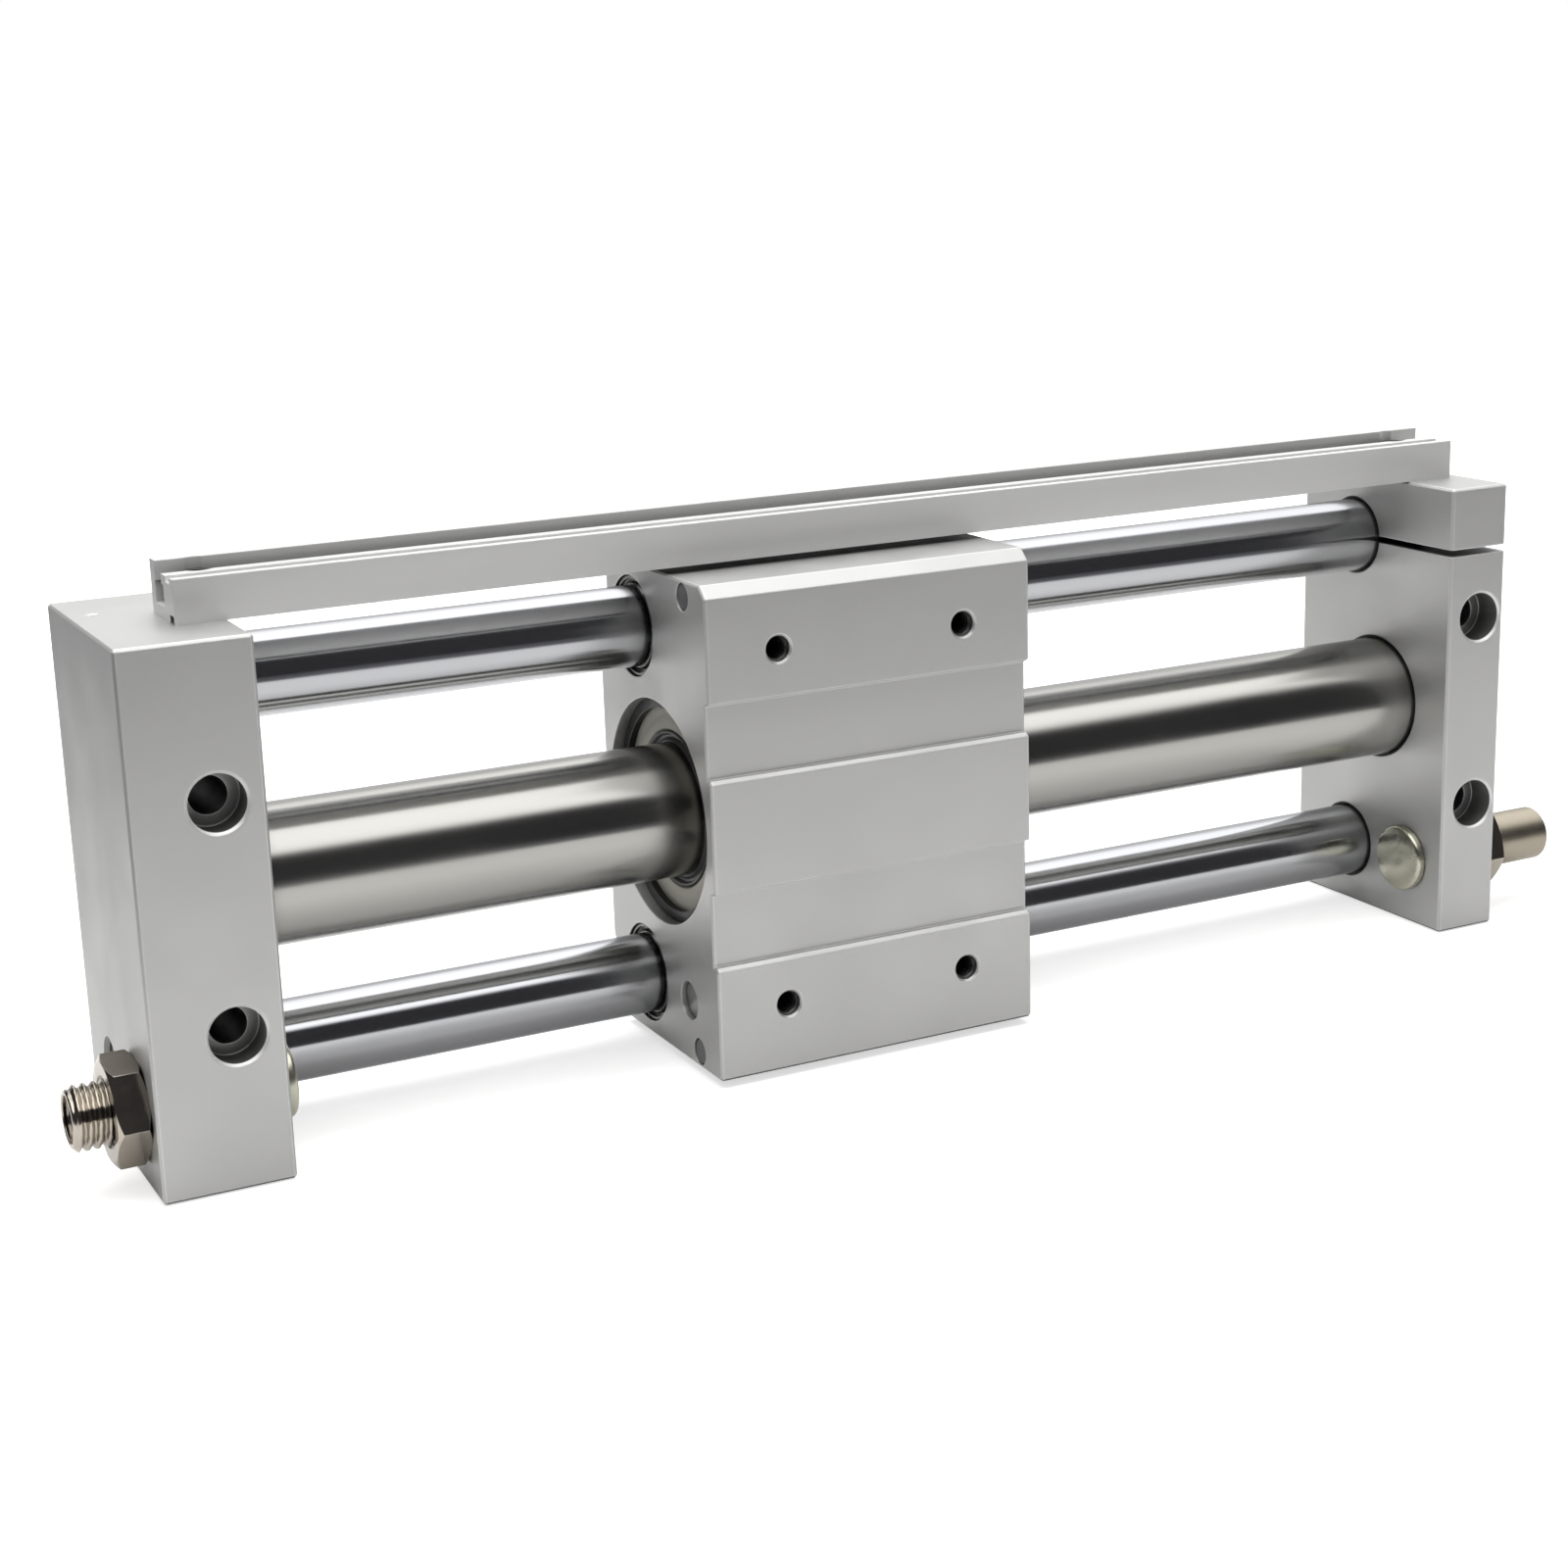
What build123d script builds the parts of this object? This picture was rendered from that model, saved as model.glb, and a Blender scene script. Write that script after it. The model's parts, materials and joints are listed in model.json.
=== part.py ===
from build123d import *
from math import cos, pi, radians, sqrt, tan
import os

# Magnetic rodless cylinder, slider kind, 25 mm bore, in millimetres.
# X runs along the tube, -Y is the slide table's face, +Y the mounting face, and the unit
# stands on the narrow lower edges of its two end plates. The origin is under its middle.

os.makedirs("parts", exist_ok=True)

# End plates
plate_behind = 1.1  # plates reach this far behind the slide table
left_plate_width = 24.0
right_plate_width = 15.0
clear_span = 261.0  # between the plates' inner faces
plate_chamfer = 0.5
left_seat_wall = 9.0  # metal left behind the tube's and rods' seats
right_seat_wall = 6.5
rod_end_gap = 0.6  # the rods stop this far short of the right plate's outer face
fit = 0.05  # radial play of pieces that are pushed together
running = 0.05  # radial play of pieces that slide or turn

# Tube and guide rods
tube_outer = 26.4
tube_wall = 0.7
rod_diameter = 16.0
rod_edge = 13.9  # from a rod's axis to the plates' nearest narrow face
rod_behind = 8.5  # rod axes behind the tube's axis
rod_chamfer = 1.0
mouth_chamfer = 0.7
gasket_width = 2.4
gasket_thickness = 1.5
gasket_setback = 5.0

# Mounting holes through the plates
base_hole_inset = 8.5  # from each plate's inner face
base_hole_spacing = 42.0
base_hole_diameter = 7.0
counterbore_diameter = 11.3
counterbore_depth = 6.8

# Air ports
port_diameter = 8.8
port_mouth_diameter = 10.6
air_way_back = 1.3  # the port and air ways, behind the rods' axes
left_port_rise = 1.5  # above the lower rod's axis
left_port_floor = 1.5  # metal between the port and the rod's seat
air_way_diameter = 3.0
cross_way_diameter = 2.4  # from the upright air way to the tube
air_way_setback = 4.7  # upright air way behind the left plate's outer face
ball_sink = 0.3

# Clamp slit of the right plate
slit_width = 1.5
clamp_screw_diameter = 4.0
clamp_screw_length = 16.0
clamp_head_diameter = 7.0
clamp_head_height = 4.0
clamp_head_sink = 0.4
clamp_wall = 1.9  # metal left between the screw and the rod's bore
clamp_hex = 3.0
clamp_hole_spare = 0.6

# Stops: adjusting bolts, their bumpers and lock nuts
stop_ahead = 20.1  # in front of the rod axes
stop_rise = 0.6  # above the lower rod's axis
bolt_diameter = 12.0
bolt_length = 37.7
bolt_chamfer = 1.0
bolt_hex = 6.0
bolt_hex_depth = 6.0
left_setting = 1.0  # bumper screwed off the left plate
right_setting = 0.0
bumper_rim_width = 1.3  # beyond the bolt
bumper_thickness = 2.0
bumper_chamfer = 0.7
bumper_stem_diameter = 4.0
bumper_stem_length = 4.0
nut_wall = 3.0  # from the thread to a flat
nut_thickness = 6.0
nut_slope = 30.0
nut_turn = 25.0  # upward tilt of the flat that looks forward
hexagon_step = 60.0  # degrees between a hexagon's corners

# Slide table
table_length = 70.0
table_start = 83.5  # from the left plate's inner face
table_edge_gap = 1.3  # its narrow faces stand this far inside the plates'
table_proud = 1.2  # in front of the plates
table_front_wall = 1.5  # in front of the retaining rings' grooves
table_back_wall = 1.2
relief_wall = 2.0  # behind the bushes
relief_inset = 2.1  # from a rod's axis to the step of the back
back_corner_share = 0.54  # corner rounding as a share of the back's step
relief_corner_share = 0.36
table_top_chamfer_y = 2.4
table_top_chamfer_z = 2.3
table_bottom_chamfer = 0.6
table_end_chamfer = 0.4
band_recess = 1.7
band_slope = 0.7
centre_band_half = 11.35
outer_band_half = 25.45
table_hole_spacing_x = 40.0
table_hole_spacing_z = 70.0
table_hole_diameter = 5.0
table_hole_depth = 12.0
table_hole_mouth = 5.8

# Magnet housing in the table
housing_gap = 9.3  # from the tube to the housing's bore
housing_wall = 2.85  # between a ring's groove and the bushes' bores
ring_groove_sink = 1.2
ring_setback = 2.3
ring_thickness = 1.5
ring_reach = 2.2  # inside the housing's bore
ring_gap = 9.0
ring_ear_radius = 2.6
ring_ear_hole = 1.8
cover_thickness = 4.2
cover_gap = 2.4  # room round the tube for scraper and wear ring
scraper_thickness = 2.2
sleeve_wall = 1.3
outer_magnet_gap = 1.3  # from the tube
outer_yoke_gap = 0.8
magnet_count = 4
yoke_thickness = 3.6

# Guide bushes, seals, stop pads and sensor magnets
bush_wall = 2.0
bush_length = 22.0
seal_thickness = 3.0
seal_setback = 0.5
pad_hole_diameter = 7.8
pad_hole_depth = 5.0
pad_thickness = 4.0
magnet_pin_diameter = 5.4
magnet_pin_depth = 8.0
magnet_pin_length = 7.7
magnet_pin_y = 8.5
magnet_pin_inset = 3.2  # from the table's top and bottom faces

# Piston that carries the inner magnets
piston_shaft_diameter = 8.0
inner_magnet_gap = 1.2  # from the tube's bore
inner_yoke_gap = 0.7
piston_gap = 0.35
piston_length = 11.0
piston_seal_groove = 2.0
piston_seal_width = 2.6
piston_seal_sink = 2.35
wear_groove = 6.4
wear_width = 3.0
wear_sink = 1.45
piston_nut_flats = 13.0
piston_nut_thickness = 4.5
shaft_end = 1.0

# Sensor rail
rail_cover = 9.5  # how far the rail lies over the left plate
rail_ahead = 17.8  # its front face, in front of the rod axes
rail_setback = 3.4  # from the right plate's outer face
rail_depth = 15.1
rail_front_height = 8.0
rail_back_height = 9.7
rail_front_wall = 2.0
rail_groove_width = 2.9
rail_groove_depth = 1.0
rail_back_wall = 3.5
slot_opening = 3.9
slot_front_undercut = 1.2
slot_back_undercut = 0.7
slot_lip = 1.8
slot_floor = 2.2
rail_toe_wall = 0.7
rail_toe_width = 2.7
rail_toe_height = 1.4
left_rail_screw_inset = 6.8  # from the rail's end
right_rail_screw_inset = 8.6
rail_screw_back = 1.6  # behind the slot's front edge
rail_screw_diameter = 3.0
rail_screw_length = 7.0
rail_head_diameter = 4.8
rail_head_height = 5.5
rail_notch_diameter = 5.6
rail_screw_hex = 2.5
rail_hole_spare = 0.5  # hole left below the screw's end

# Sizes worked out from those above
bore_seat = left_plate_width - left_seat_wall
tube_seat_right = right_plate_width - right_seat_wall
left_port_depth = left_seat_wall - left_port_floor
tube_inner = tube_outer - 2 * tube_wall
bush_outer = rod_diameter + 2 * bush_wall
bush_bore = bush_outer + 2 * fit
housing_bore = tube_outer + 2 * housing_gap
ring_groove_diameter = housing_bore + 2 * ring_groove_sink
rod_distance = ring_groove_diameter / 2 + housing_wall + bush_bore / 2  # from the tube's axis
rod_spacing = 2 * sqrt(rod_distance**2 - rod_behind**2)
plate_height = rod_spacing + 2 * rod_edge
table_height = plate_height - 2 * table_edge_gap
ring_inner_diameter = housing_bore - 2 * ring_reach
cover_hole_diameter = tube_outer + 2 * cover_gap
outer_magnet_inner = tube_outer + 2 * outer_magnet_gap
outer_yoke_inner = tube_outer + 2 * outer_yoke_gap
inner_magnet_outer = tube_inner - 2 * inner_magnet_gap
inner_yoke_outer = tube_inner - 2 * inner_yoke_gap
piston_outer = tube_inner - 2 * piston_gap
piston_seal_inner = piston_outer - 2 * piston_seal_sink
wear_inner = piston_outer - 2 * wear_sink
tube_y = table_front_wall - table_proud + ring_groove_diameter / 2
rod_y = tube_y + rod_behind
rail_y = rod_y - rail_ahead
stop_y = rod_y - stop_ahead
stop_z = rod_edge + stop_rise
table_back_y = tube_y + ring_groove_diameter / 2 + table_back_wall
table_relief_y = rod_y + bush_outer / 2 + relief_wall
table_relief_half = rod_spacing / 2 - relief_inset
back_step = table_back_y - table_relief_y
plate_depth = table_back_y + plate_behind
bumper_diameter = bolt_diameter + 2 * bumper_rim_width
nut_flats = bolt_diameter + 2 * nut_wall

# Places worked out from the sizes
left_reach = bolt_length - left_plate_width - left_setting
right_reach = bolt_length - right_plate_width - right_setting
body_length = left_plate_width + clear_span + right_plate_width
x_left_out = left_reach - (left_reach + body_length + right_reach) / 2
x_left_in = x_left_out + left_plate_width
x_right_in = x_left_in + clear_span
x_right_out = x_right_in + right_plate_width
y_front = table_proud - (table_proud + plate_depth) / 2
y_tube = y_front + tube_y
y_rod = y_front + rod_y
y_air_way = y_rod + air_way_back
y_stop = y_front + stop_y
z_axis = plate_height / 2
z_upper = z_axis + rod_spacing / 2
z_lower = z_axis - rod_spacing / 2
x_table = x_left_in + table_start
x_table_end = x_table + table_length
x_table_mid = x_table + table_length / 2
y_table = y_front - table_proud
tube_bore = tube_outer + 2 * fit
rod_bore = rod_diameter + 2 * fit
bolt_bore = bolt_diameter + 2 * running
x_rail = x_left_in - rail_cover
x_rail_end = x_right_out - rail_setback
rail_length = x_rail_end - x_rail
y_rail = y_front + rail_y
slot_end = rail_depth - rail_back_wall
slot_start = slot_end - slot_opening
y_rail_screw = y_rail + slot_start + rail_screw_back
rail_screw_points = [
    (x_rail + left_rail_screw_inset, y_rail_screw),
    (x_rail_end - right_rail_screw_inset, y_rail_screw),
]
z_table_bottom = z_axis - table_height / 2
z_table_top = z_axis + table_height / 2
y_magnet_pin = y_front + magnet_pin_y
magnet_pin_points = [
    (y_magnet_pin, z_table_bottom + magnet_pin_inset),
    (y_magnet_pin, z_table_top - magnet_pin_inset),
]


def disc_along_x(x, length, diameter, y, z, hole=0.0):
    """A disc or ring whose axis is parallel to X."""
    with BuildPart() as disc:
        with BuildSketch(Plane.YZ.offset(x)):
            with Locations((y, z)):
                Circle(diameter / 2)
                if hole > 0:
                    Circle(hole / 2, mode=Mode.SUBTRACT)
        extrude(amount=length)
    return disc


def plate_blank(x, width):
    """A plain end plate with its outer edges broken."""
    with BuildPart() as blank:
        with BuildSketch(Plane.YZ.offset(x)):
            with Locations((y_front + plate_depth / 2, plate_height / 2)):
                Rectangle(plate_depth, plate_height)
        extrude(amount=width)
        chamfer(blank.edges(), plate_chamfer)
    return blank


def front_plane(x, z):
    """A plane on the plates' front faces, looking forward, with its X along the tube."""
    return Plane(origin=(x, y_front, z), x_dir=(1, 0, 0), z_dir=(0, -1, 0))


def mouths(part, x):
    """The round edges where bores open on a plate's face at x."""
    return part.edges().filter_by(GeomType.CIRCLE).filter_by_position(Axis.X, x - fit, x + fit)


# Left end plate: blind seats for the tube and rods, an air port and its upright air way
with BuildPart() as left_end_plate:
    add(plate_blank(x_left_out, left_plate_width).part)
    with BuildSketch(Plane.YZ.offset(x_left_in)):
        with Locations((y_tube, z_axis)):
            Circle(tube_bore / 2)
        with Locations((y_rod, z_upper), (y_rod, z_lower)):
            Circle(rod_bore / 2)
    extrude(amount=-bore_seat, mode=Mode.SUBTRACT)
    with BuildSketch(Plane.YZ.offset(x_left_in)):
        with Locations((y_stop, stop_z)):
            Circle(bolt_bore / 2)
    extrude(amount=-left_plate_width, mode=Mode.SUBTRACT)
    chamfer(mouths(left_end_plate, x_left_in), mouth_chamfer)
    with BuildSketch(Plane.YZ.offset(x_left_in - gasket_setback)):
        with Locations((y_tube, z_axis)):
            Circle(tube_outer / 2 + gasket_thickness)
    extrude(amount=-gasket_width, mode=Mode.SUBTRACT)
    with Locations(front_plane(x_left_in - base_hole_inset, z_axis)):
        with GridLocations(0, base_hole_spacing, 1, 2):
            CounterBoreHole(base_hole_diameter / 2, counterbore_diameter / 2, counterbore_depth)
    with BuildSketch(Plane.YZ.offset(x_left_out)):
        with Locations((y_air_way, z_lower + left_port_rise)):
            Circle(port_diameter / 2)
    extrude(amount=left_port_depth, mode=Mode.SUBTRACT)
    port_edges = mouths(left_end_plate, x_left_out).sort_by(SortBy.RADIUS)[0:1]
    chamfer(port_edges, (port_mouth_diameter - port_diameter) / 2)
    with BuildSketch(Plane.XY.offset(plate_height)):
        with Locations((x_left_out + air_way_setback, y_air_way)):
            Circle(air_way_diameter / 2)
    extrude(amount=z_lower + left_port_rise - plate_height, mode=Mode.SUBTRACT)
    with BuildSketch(Plane.YZ.offset(x_left_out + air_way_setback)):
        with Locations((y_air_way, z_axis)):
            Circle(cross_way_diameter / 2)
    extrude(amount=left_plate_width - bore_seat, mode=Mode.SUBTRACT)
    with BuildSketch(Plane.XY.offset(plate_height)):
        with Locations(rail_screw_points[0]):
            Circle(rail_screw_diameter / 2 + fit)
    extrude(amount=slot_floor - rail_screw_length - rail_hole_spare, mode=Mode.SUBTRACT)
left_end_plate.part.label = "left_end_plate"
export_step(left_end_plate.part, "parts/left_end_plate.step")

# Right end plate: clamps the upper rod with a slit, and holds the second air port
y_clamp = y_rod - rod_bore / 2 - clamp_wall - clamp_screw_diameter / 2
x_clamp = (x_right_in + x_right_out) / 2
clamp_head_floor = plate_height - clamp_head_sink - clamp_head_height
with BuildPart() as right_end_plate:
    add(plate_blank(x_right_in, right_plate_width).part)
    with BuildSketch(Plane.YZ.offset(x_right_in)):
        with Locations((y_rod, z_upper), (y_rod, z_lower)):
            Circle(rod_bore / 2)
        with Locations((y_stop, stop_z)):
            Circle(bolt_bore / 2)
    extrude(amount=right_plate_width, mode=Mode.SUBTRACT)
    with BuildSketch(Plane.YZ.offset(x_right_in)):
        with Locations((y_tube, z_axis)):
            Circle(tube_bore / 2)
    extrude(amount=tube_seat_right, mode=Mode.SUBTRACT)
    chamfer(mouths(right_end_plate, x_right_in), mouth_chamfer)
    with BuildSketch(Plane.YZ.offset(x_right_in + gasket_setback - gasket_width)):
        with Locations((y_tube, z_axis)):
            Circle(tube_outer / 2 + gasket_thickness)
    extrude(amount=gasket_width, mode=Mode.SUBTRACT)
    with Locations(front_plane(x_right_in + base_hole_inset, z_axis)):
        with GridLocations(0, base_hole_spacing, 1, 2):
            CounterBoreHole(base_hole_diameter / 2, counterbore_diameter / 2, counterbore_depth)
    with BuildSketch(Plane.YZ.offset(x_right_out)):
        with Locations((y_tube, z_axis)):
            Circle(port_diameter / 2)
    extrude(amount=-right_plate_width / 2, mode=Mode.SUBTRACT)
    port_rim = mouths(right_end_plate, x_right_out).filter_by(
        lambda edge: abs(edge.arc_center.Z - z_axis) < port_diameter
    )
    chamfer(port_rim, (port_mouth_diameter - port_diameter) / 2)
    with BuildSketch(Plane.YZ.offset(x_right_in)):
        with Locations((y_front, z_upper)):
            Rectangle(rod_y - rod_diameter / 4, slit_width, align=(Align.MIN, Align.CENTER))
    extrude(amount=right_plate_width, mode=Mode.SUBTRACT)
    with BuildSketch(Plane.XY.offset(plate_height)):
        with Locations((x_clamp, y_clamp)):
            Circle(clamp_head_diameter / 2 + fit)
    extrude(amount=clamp_head_floor - plate_height, mode=Mode.SUBTRACT)
    with BuildSketch(Plane.XY.offset(clamp_head_floor)):
        with Locations((x_clamp, y_clamp)):
            Circle(clamp_screw_diameter / 2 + fit)
    extrude(amount=-clamp_screw_length - clamp_hole_spare, mode=Mode.SUBTRACT)
    with BuildSketch(Plane.XY.offset(plate_height)):
        with Locations(rail_screw_points[1]):
            Circle(rail_screw_diameter / 2 + fit)
    extrude(amount=slot_floor - rail_screw_length - rail_hole_spare, mode=Mode.SUBTRACT)
right_end_plate.part.label = "right_end_plate"
export_step(right_end_plate.part, "parts/right_end_plate.step")

# Tube of thin non-magnetic steel, and the two rods
x_tube = x_left_in - bore_seat
tube_length = bore_seat + clear_span + tube_seat_right
cylinder_tube = disc_along_x(x_tube, tube_length, tube_outer, y_tube, z_axis, tube_inner)
cylinder_tube.part.label = "cylinder_tube"
export_step(cylinder_tube.part, "parts/cylinder_tube.step")

rod_length = bore_seat + clear_span + right_plate_width - rod_end_gap
for rod_name, z_rod in (("upper", z_upper), ("lower", z_lower)):
    with BuildPart() as guide_rod:
        with BuildSketch(Plane.YZ.offset(x_tube)):
            with Locations((y_rod, z_rod)):
                Circle(rod_diameter / 2)
        extrude(amount=rod_length)
        chamfer(guide_rod.edges().filter_by(GeomType.CIRCLE), rod_chamfer)
    guide_rod.part.label = f"{rod_name}_guide_rod"
    export_step(guide_rod.part, f"parts/{rod_name}_guide_rod.step")

# Sealing rings round the tube in the plates
gasket_outer = tube_outer + 2 * gasket_thickness
x_left_gasket = x_left_in - gasket_setback - gasket_width
left_tube_gasket = disc_along_x(
    x_left_gasket, gasket_width, gasket_outer, y_tube, z_axis, tube_outer
)
left_tube_gasket.part.label = "left_tube_gasket"
export_step(left_tube_gasket.part, "parts/left_tube_gasket.step")

x_right_gasket = x_right_in + gasket_setback - gasket_width
right_tube_gasket = disc_along_x(
    x_right_gasket, gasket_width, gasket_outer, y_tube, z_axis, tube_outer
)
right_tube_gasket.part.label = "right_tube_gasket"
export_step(right_tube_gasket.part, "parts/right_tube_gasket.step")

# Ball pressed into the upright air way's top
with BuildPart() as ball_plug:
    with Locations(
        (x_left_out + air_way_setback, y_air_way, plate_height - ball_sink - air_way_diameter / 2)
    ):
        Sphere(air_way_diameter / 2)
ball_plug.part.label = "ball_plug"
export_step(ball_plug.part, "parts/ball_plug.step")

# Clamp screw, its head under the rail
with BuildPart() as clamp_screw:
    with BuildSketch(Plane.XY.offset(clamp_head_floor)):
        with Locations((x_clamp, y_clamp)):
            Circle(clamp_head_diameter / 2)
    extrude(amount=clamp_head_height)
    with BuildSketch(Plane.XY.offset(clamp_head_floor)):
        with Locations((x_clamp, y_clamp)):
            Circle(clamp_screw_diameter / 2)
    extrude(amount=-clamp_screw_length)
    with BuildSketch(Plane.XY.offset(clamp_head_floor + clamp_head_height)):
        with Locations((x_clamp, y_clamp)):
            RegularPolygon(clamp_hex / 2, 6, major_radius=False)
    extrude(amount=-clamp_head_height / 2, mode=Mode.SUBTRACT)
clamp_screw.part.label = "clamp_screw"
export_step(clamp_screw.part, "parts/clamp_screw.step")

# Sensor rail: an extrusion with a switch slot, a shallow groove and a relieved toe
lip_start = rail_front_wall + rail_groove_width
slot_roof = rail_front_height - slot_lip
groove_floor = rail_front_height - rail_groove_depth
toe_end = rail_toe_wall + rail_toe_width
rail_plane = Plane(origin=(x_rail, y_rail, plate_height), x_dir=(0, 1, 0), z_dir=(1, 0, 0))
with BuildPart() as sensor_rail:
    with BuildSketch(rail_plane):
        with BuildLine():
            Polyline(
                (0, 0),
                (0, rail_front_height),
                (rail_front_wall, rail_front_height),
                (rail_front_wall, groove_floor),
                (lip_start, groove_floor),
                (lip_start, rail_front_height),
                (slot_start, rail_front_height),
                (slot_start, slot_roof),
                (slot_start - slot_front_undercut, slot_roof),
                (slot_start - slot_front_undercut, slot_floor),
                (slot_end + slot_back_undercut, slot_floor),
                (slot_end + slot_back_undercut, slot_roof),
                (slot_end, slot_roof),
                (slot_end, rail_back_height),
                (rail_depth, rail_back_height),
                (rail_depth, 0),
                (toe_end, 0),
                (toe_end, rail_toe_height),
                (rail_toe_wall, rail_toe_height),
                (rail_toe_wall, 0),
                close=True,
            )
        make_face()
    extrude(amount=rail_length)
    with BuildSketch(Plane.XY.offset(plate_height + slot_floor)):
        with Locations(*rail_screw_points):
            Circle(rail_notch_diameter / 2)
    extrude(amount=rail_back_height, mode=Mode.SUBTRACT)
    with BuildSketch(Plane.XY.offset(plate_height)):
        with Locations(*rail_screw_points):
            Circle(rail_screw_diameter / 2 + fit)
    extrude(amount=slot_floor, mode=Mode.SUBTRACT)
sensor_rail.part.label = "sensor_rail"
export_step(sensor_rail.part, "parts/sensor_rail.step")

with BuildPart() as rail_screws:
    with BuildSketch(Plane.XY.offset(plate_height + slot_floor)):
        with Locations(*rail_screw_points):
            Circle(rail_head_diameter / 2)
    extrude(amount=rail_head_height)
    with BuildSketch(Plane.XY.offset(plate_height + slot_floor)):
        with Locations(*rail_screw_points):
            Circle(rail_screw_diameter / 2)
    extrude(amount=-rail_screw_length)
    with BuildSketch(Plane.XY.offset(plate_height + slot_floor + rail_head_height)):
        with Locations(*rail_screw_points):
            RegularPolygon(rail_screw_hex / 2, 6, major_radius=False)
    extrude(amount=-rail_head_height / 2, mode=Mode.SUBTRACT)
rail_screws.part.label = "rail_screws"
export_step(rail_screws.part, "parts/rail_screws.step")

# Slide table: one machined block with a banded face and a relieved back
table_plane = Plane(origin=(x_table, y_front, z_axis), x_dir=(0, 1, 0), z_dir=(1, 0, 0))
half_height = table_height / 2
recess_y = band_recess - table_proud
with BuildPart() as slide_table:
    with BuildSketch(table_plane) as table_outline:
        with BuildLine():
            Polyline(
                (table_bottom_chamfer - table_proud, -half_height),
                (-table_proud, table_bottom_chamfer - half_height),
                (-table_proud, -outer_band_half - band_slope),
                (band_slope - table_proud, -outer_band_half),
                (recess_y, -outer_band_half),
                (recess_y, -centre_band_half),
                (-table_proud, band_slope - centre_band_half),
                (-table_proud, centre_band_half - band_slope),
                (band_slope - table_proud, centre_band_half),
                (recess_y, centre_band_half),
                (recess_y, outer_band_half),
                (-table_proud, outer_band_half + band_slope),
                (-table_proud, half_height - table_top_chamfer_z),
                (table_top_chamfer_y - table_proud, half_height),
                (table_relief_y, half_height),
                (table_relief_y, table_relief_half),
                (table_back_y, table_relief_half),
                (table_back_y, -table_relief_half),
                (table_relief_y, -table_relief_half),
                (table_relief_y, -half_height),
                close=True,
            )
        make_face()
        back_corners = table_outline.vertices().group_by(Axis.X)[-1]
        fillet(back_corners, back_corner_share * back_step)
        relief_corners = table_outline.vertices().filter_by_position(
            Axis.X, table_relief_y - fit, table_relief_y + fit
        )
        inner_corners = relief_corners.filter_by_position(
            Axis.Y, -table_relief_half - fit, table_relief_half + fit
        )
        fillet(inner_corners, relief_corner_share * back_step)
    extrude(amount=table_length)
    for end_face in slide_table.faces().filter_by(Axis.X):
        chamfer(end_face.outer_wire().edges(), table_end_chamfer)
    with BuildSketch(Plane.YZ.offset(x_table)):
        with Locations((y_tube, z_axis)):
            Circle(housing_bore / 2)
        with Locations((y_rod, z_upper), (y_rod, z_lower)):
            Circle(bush_bore / 2)
    extrude(amount=table_length, mode=Mode.SUBTRACT)
    for x_groove in (x_table + ring_setback, x_table_end - ring_setback - ring_thickness):
        with BuildSketch(Plane.YZ.offset(x_groove)):
            with Locations((y_tube, z_axis)):
                Circle(ring_groove_diameter / 2)
        extrude(amount=ring_thickness, mode=Mode.SUBTRACT)
    for x_end, inward in ((x_table, 1), (x_table_end, -1)):
        with BuildSketch(Plane.YZ.offset(x_end)):
            with Locations((y_stop, z_lower)):
                Circle(pad_hole_diameter / 2)
        extrude(amount=inward * pad_hole_depth, mode=Mode.SUBTRACT)
        with BuildSketch(Plane.YZ.offset(x_end)):
            with Locations(*magnet_pin_points):
                Circle(magnet_pin_diameter / 2)
        extrude(amount=inward * magnet_pin_depth, mode=Mode.SUBTRACT)
    with Locations(Plane(origin=(x_table_mid, y_table, z_axis), x_dir=(1, 0, 0), z_dir=(0, -1, 0))):
        with GridLocations(table_hole_spacing_x, table_hole_spacing_z, 2, 2):
            CounterSinkHole(table_hole_diameter / 2, table_hole_mouth / 2, table_hole_depth, 90)
slide_table.part.label = "slide_table"
export_step(slide_table.part, "parts/slide_table.step")

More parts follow.
